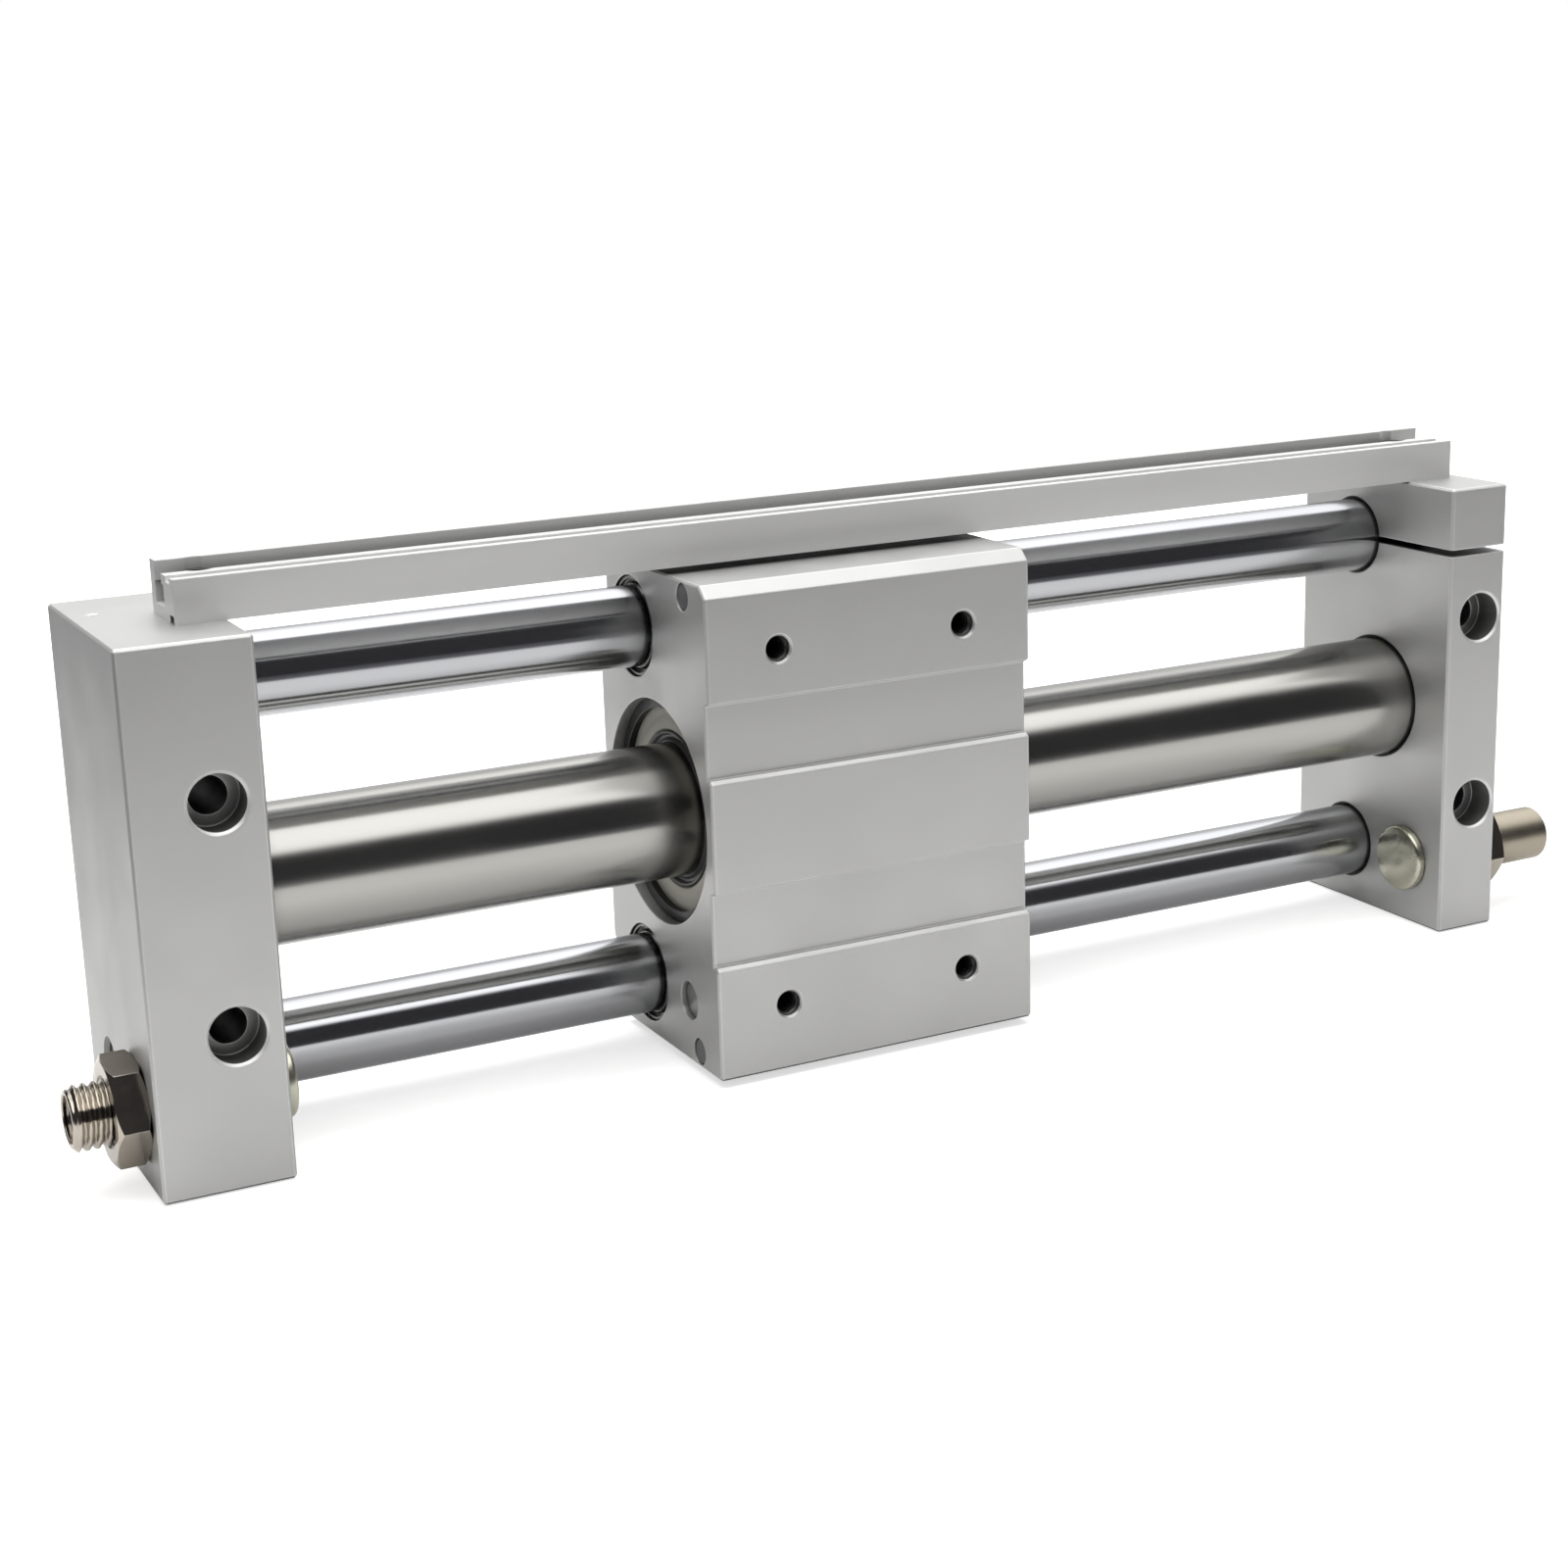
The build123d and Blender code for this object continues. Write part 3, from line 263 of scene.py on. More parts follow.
blasted = {
    "colour": (0.615, 0.615, 0.605), "edgeColour": (0.93, 0.93, 0.92), "metallic": 0.72,
    "cavity": 0.012, "cavityLimit": 0.45, "cavityPower": 1.3,
    "roughness": (0.40, 0.50), "grainScale": 3200.0, "cloudScale": 70.0, "cloudDepth": 0.07,
    "edgeRadius": 0.0004, "edgeGain": 12.0, "bump": 0.35,
}
nickel = {
    "colour": (0.58, 0.525, 0.45), "edgeColour": (0.85, 0.81, 0.74), "metallic": 1.0, "cavityPower": 0.5,
    "roughness": (0.09, 0.18), "grainScale": 1400.0, "cloudScale": 220.0, "cloudDepth": 0.25,
    "edgeRadius": 0.00015, "bump": 0.1,
}
finishes = {
    "blasted_aluminium": blasted,
    # painted highlight: a paler copy of the blasted aluminium, without cavity shade, for the rims at the
    # holes' mouths
    "painted_highlight_edge": {**blasted, "colour": (0.90, 0.90, 0.89), "metallic": 0.5, "cavityPower": 0.01,
                    "edgeRadius": 0.00002},
    # painted shade: a darker copy of the blasted aluminium, with stronger cavity shade, for the threads
    # inside the holes
    "tapped_aluminium_painted_shade": {**blasted, "colour": (0.30, 0.30, 0.29), "cavityLimit": 0.9, "cavityPower": 2.0,
                         "edgeColour": (0.5, 0.5, 0.49), "edgeRadius": 0.0001},
    "rail_aluminium": {**blasted, "colour": (0.86, 0.86, 0.85), "metallic": 0.55,
                       "stretch": (0.05, 1.0, 1.0), "cloudScale": 260.0, "cloudDepth": 0.05,
                       "bump": 0.2, "edgeRadius": 0.00025},
    "tube_steel": {
        "colour": (0.46, 0.455, 0.43), "edgeColour": (0.6, 0.6, 0.58), "metallic": 1.0, "lathe": 0.7,
        "roughness": (0.16, 0.27), "grainScale": 900.0, "cloudScale": 45.0, "cloudDepth": 0.12,
        "stretch": (0.35, 1.0, 1.0), "edgeRadius": 0.0002, "bump": 0.05,
    },
    "rod_chrome": {
        "colour": (0.53, 0.535, 0.552), "edgeColour": (0.65, 0.66, 0.68), "metallic": 1.0, "lathe": 0.85,
        "roughness": (0.15, 0.22), "grainScale": 1500.0, "cloudScale": 60.0, "cloudDepth": 0.05,
        "stretch": (0.2, 1.0, 1.0), "edgeRadius": 0.0002, "bump": 0.02,
    },
    "nickel": nickel,
    "dull_nickel": {**nickel, "colour": (0.42, 0.375, 0.30), "roughness": (0.32, 0.40)},
    "bumper_nickel": {
        "colour": (0.70, 0.69, 0.56), "edgeColour": (0.88, 0.87, 0.78), "metallic": 1.0,
        "roughness": (0.22, 0.34), "grainScale": 2200.0, "cloudScale": 150.0, "cloudDepth": 0.12,
        "edgeRadius": 0.0002, "bump": 0.12,
    },
    "cover_metal": {
        "colour": (0.58, 0.565, 0.50), "edgeColour": (0.8, 0.79, 0.74), "metallic": 0.4,
        "roughness": (0.55, 0.65), "grainScale": 1500.0, "cloudScale": 260.0, "cloudDepth": 0.2,
        "edgeRadius": 0.0002, "bump": 0.12,
    },
    "spring_steel": {
        "colour": (0.035, 0.035, 0.035), "edgeColour": (0.3, 0.3, 0.3), "metallic": 0.8,
        "roughness": (0.3, 0.45), "grainScale": 2500.0, "cloudScale": 150.0, "cloudDepth": 0.3,
        "edgeRadius": 0.00015, "bump": 0.2,
    },
    "bearing_steel": {
        "colour": (0.42, 0.42, 0.42), "edgeColour": (0.7, 0.7, 0.7), "metallic": 0.95,
        "roughness": (0.25, 0.4), "grainScale": 2500.0, "cloudScale": 200.0, "cloudDepth": 0.2,
        "edgeRadius": 0.00015, "bump": 0.15,
    },
    "screw_steel": {
        "colour": (0.09, 0.09, 0.09), "edgeColour": (0.3, 0.3, 0.3), "metallic": 0.7,
        "roughness": (0.3, 0.45), "grainScale": 2500.0, "cloudScale": 300.0, "cloudDepth": 0.25,
        "edgeRadius": 0.0001, "bump": 0.15,
    },
    "yoke_steel": {
        "colour": (0.40, 0.40, 0.41), "edgeColour": (0.6, 0.6, 0.6), "metallic": 0.95,
        "roughness": (0.35, 0.5), "grainScale": 2500.0, "cloudScale": 150.0, "cloudDepth": 0.2,
        "edgeRadius": 0.0002, "bump": 0.2,
    },
    "magnet": {
        "colour": (0.26, 0.26, 0.27), "edgeColour": (0.5, 0.5, 0.5), "metallic": 0.85,
        "roughness": (0.35, 0.5), "grainScale": 2800.0, "cloudScale": 200.0, "cloudDepth": 0.2,
        "edgeRadius": 0.0002, "bump": 0.25,
    },
    "piston_aluminium": {**blasted, "colour": (0.60, 0.60, 0.58), "bump": 0.15},
    "bush_bronze": {
        "colour": (0.50, 0.36, 0.20), "edgeColour": (0.7, 0.55, 0.35), "metallic": 0.9,
        "roughness": (0.3, 0.45), "grainScale": 2600.0, "cloudScale": 180.0, "cloudDepth": 0.25,
        "edgeRadius": 0.0002, "bump": 0.3,
    },
    "seal_case": {
        "colour": (0.30, 0.30, 0.29), "edgeColour": (0.75, 0.75, 0.74), "metallic": 0.95,
        "roughness": (0.2, 0.35), "grainScale": 2500.0, "cloudScale": 260.0, "cloudDepth": 0.2,
        "edgeRadius": 0.00015, "bump": 0.1,
    },
    "seal_rubber": {
        "colour": (0.03, 0.03, 0.03), "edgeColour": (0.07, 0.07, 0.07), "metallic": 0.0,
        "roughness": (0.5, 0.65), "grainScale": 3500.0, "cloudScale": 200.0, "cloudDepth": 0.3,
        "edgeRadius": 0.0002, "bump": 0.3,
    },
    "scraper_plastic": {
        "colour": (0.025, 0.025, 0.024), "edgeColour": (0.10, 0.10, 0.09), "metallic": 0.0,
        "roughness": (0.25, 0.4), "grainScale": 3000.0, "cloudScale": 200.0, "cloudDepth": 0.15,
        "edgeRadius": 0.0002, "bump": 0.2,
    },
    "wear_plastic": {
        "colour": (0.30, 0.22, 0.12), "edgeColour": (0.4, 0.32, 0.2), "metallic": 0.0,
        "roughness": (0.4, 0.5), "grainScale": 3000.0, "cloudScale": 200.0, "cloudDepth": 0.2,
        "edgeRadius": 0.0002, "bump": 0.2,
    },
}
materials = {name: makeFinish(name, values) for name, values in finishes.items()}
slotOf = {part["node"]: part["material_slot"] for part in frame["record"]["subparts"]}
for node, obj in frame["nodes"].items():
    for place in obj.material_slots:
        place.material = materials[slotOf[node]]
print("finishes made:", len(materials))


def bodyOf(node):
    bodies = frame["record"]["behaviour"]["bodies"]
    return next(body for body, members in bodies.items() if node in members)


def boxOf(node):
    # the low and high corners of a node's box, in mm
    return (np.array(corner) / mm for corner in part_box(node))


def axisOf(node):
    # where a node's axis crosses the YZ plane, its ends along X and its radius, in mm
    low, high = boxOf(node)
    return (low + high)[1:] / 2, low[0], high[0], (high - low)[1] / 2


def turnedGrid(along, radii, centre, axis, turn=0.0):
    # a turned surface: row i stands at along[i] on the axis, and column j lies radii[i, j] from it at
    # the angle turn + 2 pi j / columns
    rows, columns = radii.shape
    angle = turn + 2 * pi * np.arange(columns) / columns
    grid = np.empty((rows, columns, 3))
    first, second = (other for other in range(3) if other != axis)
    grid[:, :, axis] = np.broadcast_to(np.asarray(along).reshape(rows, -1), (rows, columns))
    grid[:, :, first] = centre[0] + radii * np.sin(angle)
    grid[:, :, second] = centre[1] + radii * np.cos(angle)
    return grid


def roundRows(profile, columns):
    # a profile of (along, radius) in mm as metres, with each radius the same all round
    along, radius = np.array(profile).T * mm
    return along, np.repeat(radius[:, None], columns, axis=1)


merge = {"double": 1e-7, "degenerate": 1e-8}  # metres


def gridMesh(name, grids, closed):
    # joins each grid's rows by faces, all round, and its last row to its first where it is closed
    points, faces, start = [], [], 0
    for grid in grids:
        rows, columns, _ = grid.shape
        index = start + np.arange(rows * columns).reshape(rows, columns)
        below = index if closed else index[:-1]
        above = np.roll(index, -1, axis=0) if closed else index[1:]
        corners = (below, np.roll(below, -1, axis=1), np.roll(above, -1, axis=1), above)
        faces.append(np.stack(corners, axis=-1).reshape(-1, 4))
        points.append(grid.reshape(-1, 3))
        start += rows * columns
    mesh = bpy.data.meshes.new(name)
    mesh.from_pydata(np.concatenate(points).tolist(), [], np.concatenate(faces).tolist())
    shape = bmesh.new()
    shape.from_mesh(mesh)
    bmesh.ops.remove_doubles(shape, verts=shape.verts, dist=merge["double"])
    bmesh.ops.dissolve_degenerate(shape, edges=shape.edges, dist=merge["degenerate"])
    bmesh.ops.recalc_face_normals(shape, faces=shape.faces)
    shape.to_mesh(mesh)
    shape.free()
    return mesh


pieceDefaults = {"bevel": 0.0, "bevelSegments": 2, "bevelAngle": radians(35), "smooth": radians(32)}


def finishPiece(name, grids, closed, node, values=pieceDefaults, finish=None, alone=True):
    # a piece on a node's body and in its slot, in place of the node where it stands alone
    values = {**pieceDefaults, **values}
    mesh = gridMesh(name, grids, closed)
    mesh.shade_smooth()
    mesh.set_sharp_from_angle(angle=values["smooth"])
    piece = bpy.data.objects.new(name, mesh)
    bpy.context.scene.collection.objects.link(piece)
    mesh.materials.append(materials[finish or slotOf[node]])
    if values["bevel"] > 0:
        edge = piece.modifiers.new("edge", "BEVEL")
        edge.width, edge.segments = values["bevel"] * mm, values["bevelSegments"]
        edge.limit_method, edge.angle_limit = "ANGLE", values["bevelAngle"]
    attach(piece, bodyOf(node))
    if alone:
        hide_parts(node)


def turnedPiece(name, node, profile, closed, columns):
    centre = axisOf(node)[0] * mm
    along, radii = roundRows(profile, columns)
    finishPiece(name, [turnedGrid(along, radii, centre, 0)], closed, node)


# Tube and rods: straight turned bars, with the tube's wall turned back inside
tube = {"wall": 0.7, "edge": 0.15, "columns": 192}
rod = {"chamfer": 1.0, "columns": 160}


def makeTube(values):
    _, start, end, radius = axisOf("cylinder_tube")
    inner, edge = radius - values["wall"], values["edge"]
    turnedPiece("tube", "cylinder_tube", [
        (start, inner), (start, radius - edge), (start + edge, radius),
        (end - edge, radius), (end, radius - edge), (end, inner),
    ], True, values["columns"])


def makeRod(level, values):
    node = f"{level}_guide_rod"
    _, start, end, radius = axisOf(node)
    cut = values["chamfer"]
    turnedPiece(f"{level}Rod", node, [
        (start, 0), (start, radius - cut), (start + cut, radius),
        (end - cut, radius), (end, radius - cut), (end, 0),
    ], False, values["columns"])


makeTube(tube)
for level in ("upper", "lower"):
    makeRod(level, rod)
print("tube and rods made")

# Rings round the tube and rods, and stop pads, in the table's two ends
cover = {"inner": 15.6, "edge": 0.35, "groove": (17.6, 20.2), "sink": 0.1, "slope": 0.3, "columns": 128}
scraper = {
    "inner": 13.28, "lipBack": 0.1, "lipWidth": 0.25, "valley": 14.5, "valleyWidth": 0.3, "sink": 0.7,
    "rimSlope": 0.5, "edge": 0.25, "columns": 128,
}
seal = {
    "inner": 8.06, "lipBack": 0.15, "lipWidth": 0.2, "valley": 8.75, "rim": 9.35, "rimSlope": 0.1,
    "sink": 0.9, "edge": 0.2, "columns": 96,
}
pad = {"edge": 0.5, "curve": 0.15, "columns": 64}


def outerEnd(node, side):
    # the node's outer face, the direction inwards from it, its depth and its radius
    _, start, end, radius = axisOf(node)
    face, way = (start, 1) if side == "left" else (end, -1)
    return face, way, end - start, radius


def inwards(face, way, profile):
    # a profile of (depth, radius), laid inwards from the outer face
    return [(face + way * depth, radius) for depth, radius in profile]


def makeCover(side, values):
    node = f"{side}_side_cover"
    face, way, depth, radius = outerEnd(node, side)
    inner, edge, sink, slope = (values[name] for name in ("inner", "edge", "sink", "slope"))
    near, far = values["groove"]
    turnedPiece(f"{side}Cover", node, inwards(face, way, [
        (edge, radius), (0, radius - edge), (0, far), (sink, far - slope), (sink, near + slope), (0, near),
        (0, inner + edge), (edge, inner), (depth, inner), (depth, radius),
    ]), True, values["columns"])


def makeScraper(side, values):
    node = f"{side}_tube_scraper"
    face, way, depth, radius = outerEnd(node, side)
    inner, edge, sink, back = (values[name] for name in ("inner", "edge", "sink", "lipBack"))
    valley = values["valley"]
    turnedPiece(f"{side}Scraper", node, inwards(face, way, [
        (edge, radius), (0, radius - edge), (0, valley + values["rimSlope"]), (sink, valley),
        (sink, valley - values["valleyWidth"]), (back, inner + values["lipWidth"]), (back, inner),
        (depth, inner), (depth, radius),
    ]), True, values["columns"])


def makeSeal(level, side, values):
    node = f"{level}_{side}_rod_seal"
    face, way, depth, radius = outerEnd(node, side)
    inner, edge, sink, back = (values[name] for name in ("inner", "edge", "sink", "lipBack"))
    rim = values["rim"]
    turnedPiece(f"{level}{side.capitalize()}Seal", node, inwards(face, way, [
        (edge, radius), (0, radius - edge), (0, rim), (sink, rim - values["rimSlope"]),
        (sink, values["valley"]), (back, inner + values["lipWidth"]), (back, inner),
        (depth, inner), (depth, radius),
    ]), True, values["columns"])


def makePad(side, values):
    node = f"{side}_stop_pad"
    face, way, depth, radius = outerEnd(node, side)
    edge, curve = values["edge"], values["curve"]
    turnedPiece(f"{side}Pad", node, inwards(face, way, [
        (0, 0), (0, radius - edge), (curve, radius - curve), (edge, radius), (depth, radius), (depth, 0),
    ]), False, values["columns"])


for side in ("left", "right"):
    makeCover(side, cover)
    makeScraper(side, scraper)
    for level in ("upper", "lower"):
        makeSeal(level, side, seal)
    makePad(side, pad)
print("covers, scrapers, seals and pads made")

# Sensor magnets: four chamfered pins in one piece
pin = {"radius": 2.65, "edge": 0.25, "length": 7.7, "columns": 48}


def makeSensorMagnets(values):
    low, high = boxOf("sensor_magnets")
    radius, edge = values["radius"], values["edge"]
    grids = []
    for start in (low[0], high[0] - values["length"]):
        for z in (low[2] + radius, high[2] - radius):
            end = start + values["length"]
            along, radii = roundRows([
                (start, 0), (start, radius - edge), (start + edge, radius),
                (end - edge, radius), (end, radius - edge), (end, 0),
            ], values["columns"])
            grids.append(turnedGrid(along, radii, ((low + high)[1] / 2 * mm, z * mm), 0))
    finishPiece("sensorMagnets", grids, False, "sensor_magnets")


makeSensorMagnets(pin)
print("sensor magnets made")

# Stops: threaded bolts with hexagon sockets, flat bumpers and chamfered lock nuts
bolt = {
    "crest": 6.0, "root": 5.3, "pitch": 1.75, "flatShare": 0.2, "chamfer": 1.0, "stepsPerTurn": 12,
    "columns": 96, "recess": 4.3, "recessDepth": 1.0, "recessEdge": 0.2, "socketHalf": 3.0,
    "socketDepth": 5.9, "socketFloor": 0.1, "socketTip": 0.9, "socketTurn": radians(30),
    "plain": {"left": 0.0, "right": 14.0}, "plainGap": 0.05, "smooth": radians(40),
    "finish": {"left": "nickel", "right": "dull_nickel"},
}
nut = {
    "flatHalf": 9.0, "faceGap": 0.02, "slope": radians(30), "bore": 6.05, "mouth": 6.7,
    "turn": radians(25), "bevel": 0.2, "smooth": radians(25), "columns": 192,
}
bumper = {
    "round": ((0.0, 0.7), (0.12, 0.385), (0.35, 0.15), (0.7, 0.0)), "face": 1.96, "backEdge": 0.2,
    "stem": 2.0, "dimple": 0.03, "dimpleRadii": (0.8, 1.0), "columns": 128,
}


def hexRadius(half, columns):
    # distance from a hexagon's middle to its side: half over the cosine of the angle from the nearest
    # flat's middle. The first column is on a corner
    angle = 2 * pi * np.arange(columns) / columns
    return half / np.cos(angle % (pi / 3) - pi / 6)


def threadRows(distance, values, way, plain):
    # a thread's radius at each distance from the bolt's end: a saw of the turns passed less the angle's
    # share of a turn, cut flat at crest and root, and cut to a cone at the end
    share = np.arange(values["columns"]) / values["columns"]
    turns = distance[:, None] / values["pitch"] - way * share
    saw = np.abs(2 * (turns % 1) - 1)
    rise = np.clip((saw - values["flatShare"]) / (1 - 2 * values["flatShare"]), 0, 1)
    radii = values["root"] + (values["crest"] - values["root"]) * rise
    radii = np.where(distance[:, None] < plain, values["crest"] - values["plainGap"], radii)
    return np.minimum(radii, values["crest"] - values["chamfer"] + distance[:, None])


def makeBolt(side, values):
    # rows run from the socket's floor out to the bolt's end and back along the thread
    node = f"{side}_adjusting_bolt"
    centre = axisOf(node)[0] * mm
    face, way, length, _ = outerEnd(node, side)
    distance = np.linspace(0, length, int(length / values["pitch"] * values["stepsPerTurn"]))
    thread = threadRows(distance, values, way, values["plain"][side])
    half, flat = hexRadius(values["socketHalf"], values["columns"]), np.ones(values["columns"])
    recess, edge, tip = values["recess"] * flat, values["recessEdge"], half * values["socketTip"]
    shallow, deep = values["recessDepth"], values["socketDepth"]
    mouth = np.stack([0 * flat, tip, half, half, recess, recess, recess + edge])
    mouthAt = [deep, deep, deep - values["socketFloor"], shallow, shallow, edge, 0]
    radii = np.concatenate([mouth, thread, 0 * flat[None]]) * mm
    along = (face + way * np.concatenate([mouthAt, distance, [length]])) * mm
    grid = turnedGrid(along, radii, centre, 0, values["socketTurn"])
    finishPiece(f"{side}Bolt", [grid], False, node, values, values["finish"][side])


def makeNut(side, values):
    # each face falls back towards the corners by the slope's rise over the flats' circle
    node = f"{side}_lock_nut"
    centre, start, end, _ = axisOf(node)
    half, flat = hexRadius(values["flatHalf"], values["columns"]), np.ones(values["columns"])
    arc = (half - values["flatHalf"]) * np.tan(values["slope"])
    thick = (end - start) * flat
    bore, mouth = values["bore"] * flat, values["mouth"] * flat
    circle = (values["flatHalf"] - values["faceGap"]) * flat
    lead = mouth - bore
    along = np.stack([lead, 0 * flat, 0 * flat, arc, thick - arc, thick, thick, thick - lead])
    radii = np.stack([bore, mouth, circle, half, half, circle, mouth, bore])
    grid = turnedGrid((start + along) * mm, radii * mm, centre * mm, 0, values["turn"])
    finishPiece(f"{side}Nut", [grid], True, node, values)


def makeBumper(side, values):
    # the bumper's face looks along the span, away from its bolt
    node = f"{side}_stop_bumper"
    face, way, depth, radius = outerEnd(node, "right" if side == "left" else "left")
    dimple, (inner, outer) = values["dimple"], values["dimpleRadii"]
    back, edge, stem = values["face"], values["backEdge"], values["stem"]
    rounded = [(along, radius - less) for along, less in values["round"]]
    turnedPiece(f"{side}Bumper", node, inwards(face, way, [
        (dimple, 0), (dimple, inner), (0, outer), *rounded, (back - edge, radius), (back, radius - edge),
        (back, stem), (depth, stem), (depth, 0),
    ]), False, values["columns"])


for side in ("left", "right"):
    makeBolt(side, bolt)
    makeNut(side, nut)
    makeBumper(side, bumper)
print("stops made")

# Hole details inside the plates' and the table's metal: rims in a paler finish as painted highlight, threads
# in a darker finish as painted shade, and the peened air way
counterbores = {"inset": 8.5, "spacing": 42.0, "radius": 5.65}
tableHoles = {"spacingX": 40.0, "spacingZ": 70.0, "radius": 2.95}
rim = {"width": 0.45, "under": 0.02, "columns": 72, "finish": "painted_highlight_edge"}
thread = {
    "columns": 64, "stepsPerTurn": 10, "leadIn": 0.4, "fade": 0.5, "clear": 0.06, "cover": 0.05,
    "finish": "tapped_aluminium_painted_shade",
}
tableThread = {
    **thread, "radius": 2.52, "mouth": 2.52, "ridge": 0.42, "pitch": 1.0, "start": 0.45, "end": 9.0,
}
portThread = {
    **thread, "behindRod": 1.3, "aboveRod": 1.5, "radius": 4.42, "mouth": 5.3, "ridge": 0.45,
    "pitch": 0.907, "start": 0.02, "end": 5.0,
}
peen = {"under": 0.02, "inner": 0.78, "depth": 0.43, "back": 0.1, "columns": 48}


def tablePoints(values):
    low, high = boxOf("slide_table")
    middle = (low + high) / 2
    halfX, halfZ = values["spacingX"] / 2, values["spacingZ"] / 2
    return [(middle[0] + x, middle[2] + z) for x in (-halfX, halfX) for z in (-halfZ, halfZ)]


def platePoints(side, values):
    # the holes lie behind the plate's inner face, above and below the plate's middle
    low, high = boxOf(f"{side}_end_plate")
    x = high[0] - values["inset"] if side == "left" else low[0] + values["inset"]
    middle, half = (low + high)[2] / 2, values["spacing"] / 2
    return [(x, middle - half), (x, middle + half)]


def makeRims(name, node, points, radius, values):
    # a cone of 45 degrees from the front face at the hole's radius inwards, in a paler finish as a painted
    # highlight
    low, _ = boxOf(node)
    face, width = low[1], values["width"]
    along, radii = roundRows([
        (face + values["under"], radius), (face + width, radius - width), (face + width, radius),
    ], values["columns"])
    grids = [turnedGrid(along, radii, (x * mm, z * mm), 1) for x, z in points]
    finishPiece(name, grids, True, node, pieceDefaults, values["finish"], False)


def makeTappedThreads(name, node, axis, points, values):
    # ridge height: a triangle wave of the depth over the pitch plus the share of a turn, faded in after
    # the mouth's cone
    low, _ = boxOf(node)
    radius, mouth, start, end = (values[key] for key in ("radius", "mouth", "start", "end"))
    coneEnd = start + mouth - radius
    first, pitch = coneEnd + values["leadIn"], values["pitch"]
    depth = np.linspace(first, end, int((end - first) * values["stepsPerTurn"] / pitch))[:, None]
    share = np.arange(values["columns"]) / values["columns"]
    wave = np.abs(2 * ((depth / pitch + share) % 1) - 1)
    ridge = radius - values["ridge"] * wave * np.clip((depth - first) / values["fade"], 0, 1)
    cone = np.array([[mouth], [radius]]) - values["clear"]
    wall = np.array([[radius], [mouth]]) + values["cover"]
    flat = np.ones((1, values["columns"]))
    radii = np.concatenate([cone * flat, ridge, wall * flat]) * mm
    along = (low[axis] + np.concatenate([[start, coneEnd], depth[:, 0], [end, start]])) * mm
    grids = [turnedGrid(along, radii, (across * mm, up * mm), axis) for across, up in points]
    # painted shade: the threads take the darker tapped finish
    finishPiece(name, grids, True, node, pieceDefaults, values["finish"], False)


def makePeenedEdge(values):
    # metal pressed over the ball: a shallow cone from the air way's edge down to the ball
    _, plateHigh = boxOf("left_end_plate")
    low, high = boxOf("ball_plug")
    top, radius, middle = plateHigh[2], (high - low)[2] / 2, (low + high) / 2
    along, radii = roundRows([
        (top - values["under"], radius), (top - values["depth"], values["inner"]),
        (top - values["depth"] - values["back"], radius),
    ], values["columns"])
    grid = turnedGrid(along, radii, middle[:2] * mm, 2)
    finishPiece("peenedEdge", [grid], True, "left_end_plate", alone=False)


makeRims("slideRims", "slide_table", tablePoints(tableHoles), tableHoles["radius"], rim)
for side in ("left", "right"):
    points = platePoints(side, counterbores)
    makeRims(f"{side}Rims", f"{side}_end_plate", points, counterbores["radius"], rim)
makeTappedThreads("tableThreads", "slide_table", 1, tablePoints(tableHoles), tableThread)
portPoint = axisOf("lower_guide_rod")[0] + (portThread["behindRod"], portThread["aboveRod"])
makeTappedThreads("portThread", "left_end_plate", 0, [portPoint], portThread)
makePeenedEdge(peen)
print("hole details made")

# Small fasteners seen from above: the rail's cap screws and the ball in the air way
capScrew = {
    "head": 2.4, "height": 5.5, "edge": 0.35, "edgeSteps": 7, "shank": 1.5, "columns": 72,
    "socketHalf": 1.25, "socketDepth": 2.7, "socketLead": 0.15, "socketMouth": 1.6,
}
ball = {"steps": 25, "columns": 48, "smooth": radians(60)}


def makeRailScrews(values):
    # rows run from the socket's floor up, over the head's rounded edge and down the shank
    low, high = boxOf("rail_screws")
    head, edge, shank, columns = (values[name] for name in ("head", "edge", "shank", "columns"))
    flat, half = np.ones(columns), hexRadius(values["socketHalf"], columns)
    top, seat = high[2], high[2] - values["height"]
    dome = np.linspace(0, pi / 2, values["edgeSteps"])
    grids = []
    for x in (low[0] + head, high[0] - head):
        along = np.concatenate([
            [top - values["socketDepth"]] * 2, [top - values["socketLead"], top],
            top - edge * (1 - np.cos(dome)), [seat, seat, low[2], low[2]],
        ])
        radii = np.concatenate([
            np.stack([0 * flat, half, half, values["socketMouth"] * flat]),
            (head - edge * (1 - np.sin(dome)))[:, None] * flat,
            np.array([head, shank, shank, 0])[:, None] * flat,
        ])
        grids.append(turnedGrid(along * mm, radii * mm, (x * mm, (low + high)[1] / 2 * mm), 2))
    finishPiece("railScrews", grids, False, "rail_screws")


def makeBall(values):
    # a sphere: height by the cosine and radius by the sine of the angle from the top
    low, high = boxOf("ball_plug")
    middle, radius = (low + high) / 2 * mm, (high - low)[2] / 2 * mm
    angle = np.linspace(0, pi, values["steps"])
    radii = np.repeat((radius * np.sin(angle))[:, None], values["columns"], axis=1)
    grid = turnedGrid(middle[2] + radius * np.cos(angle), radii, middle[:2], 2)
    finishPiece("ballPlug", [grid], False, "ball_plug", values)


makeRailScrews(capScrew)
makeBall(ball)
print("fasteners made")

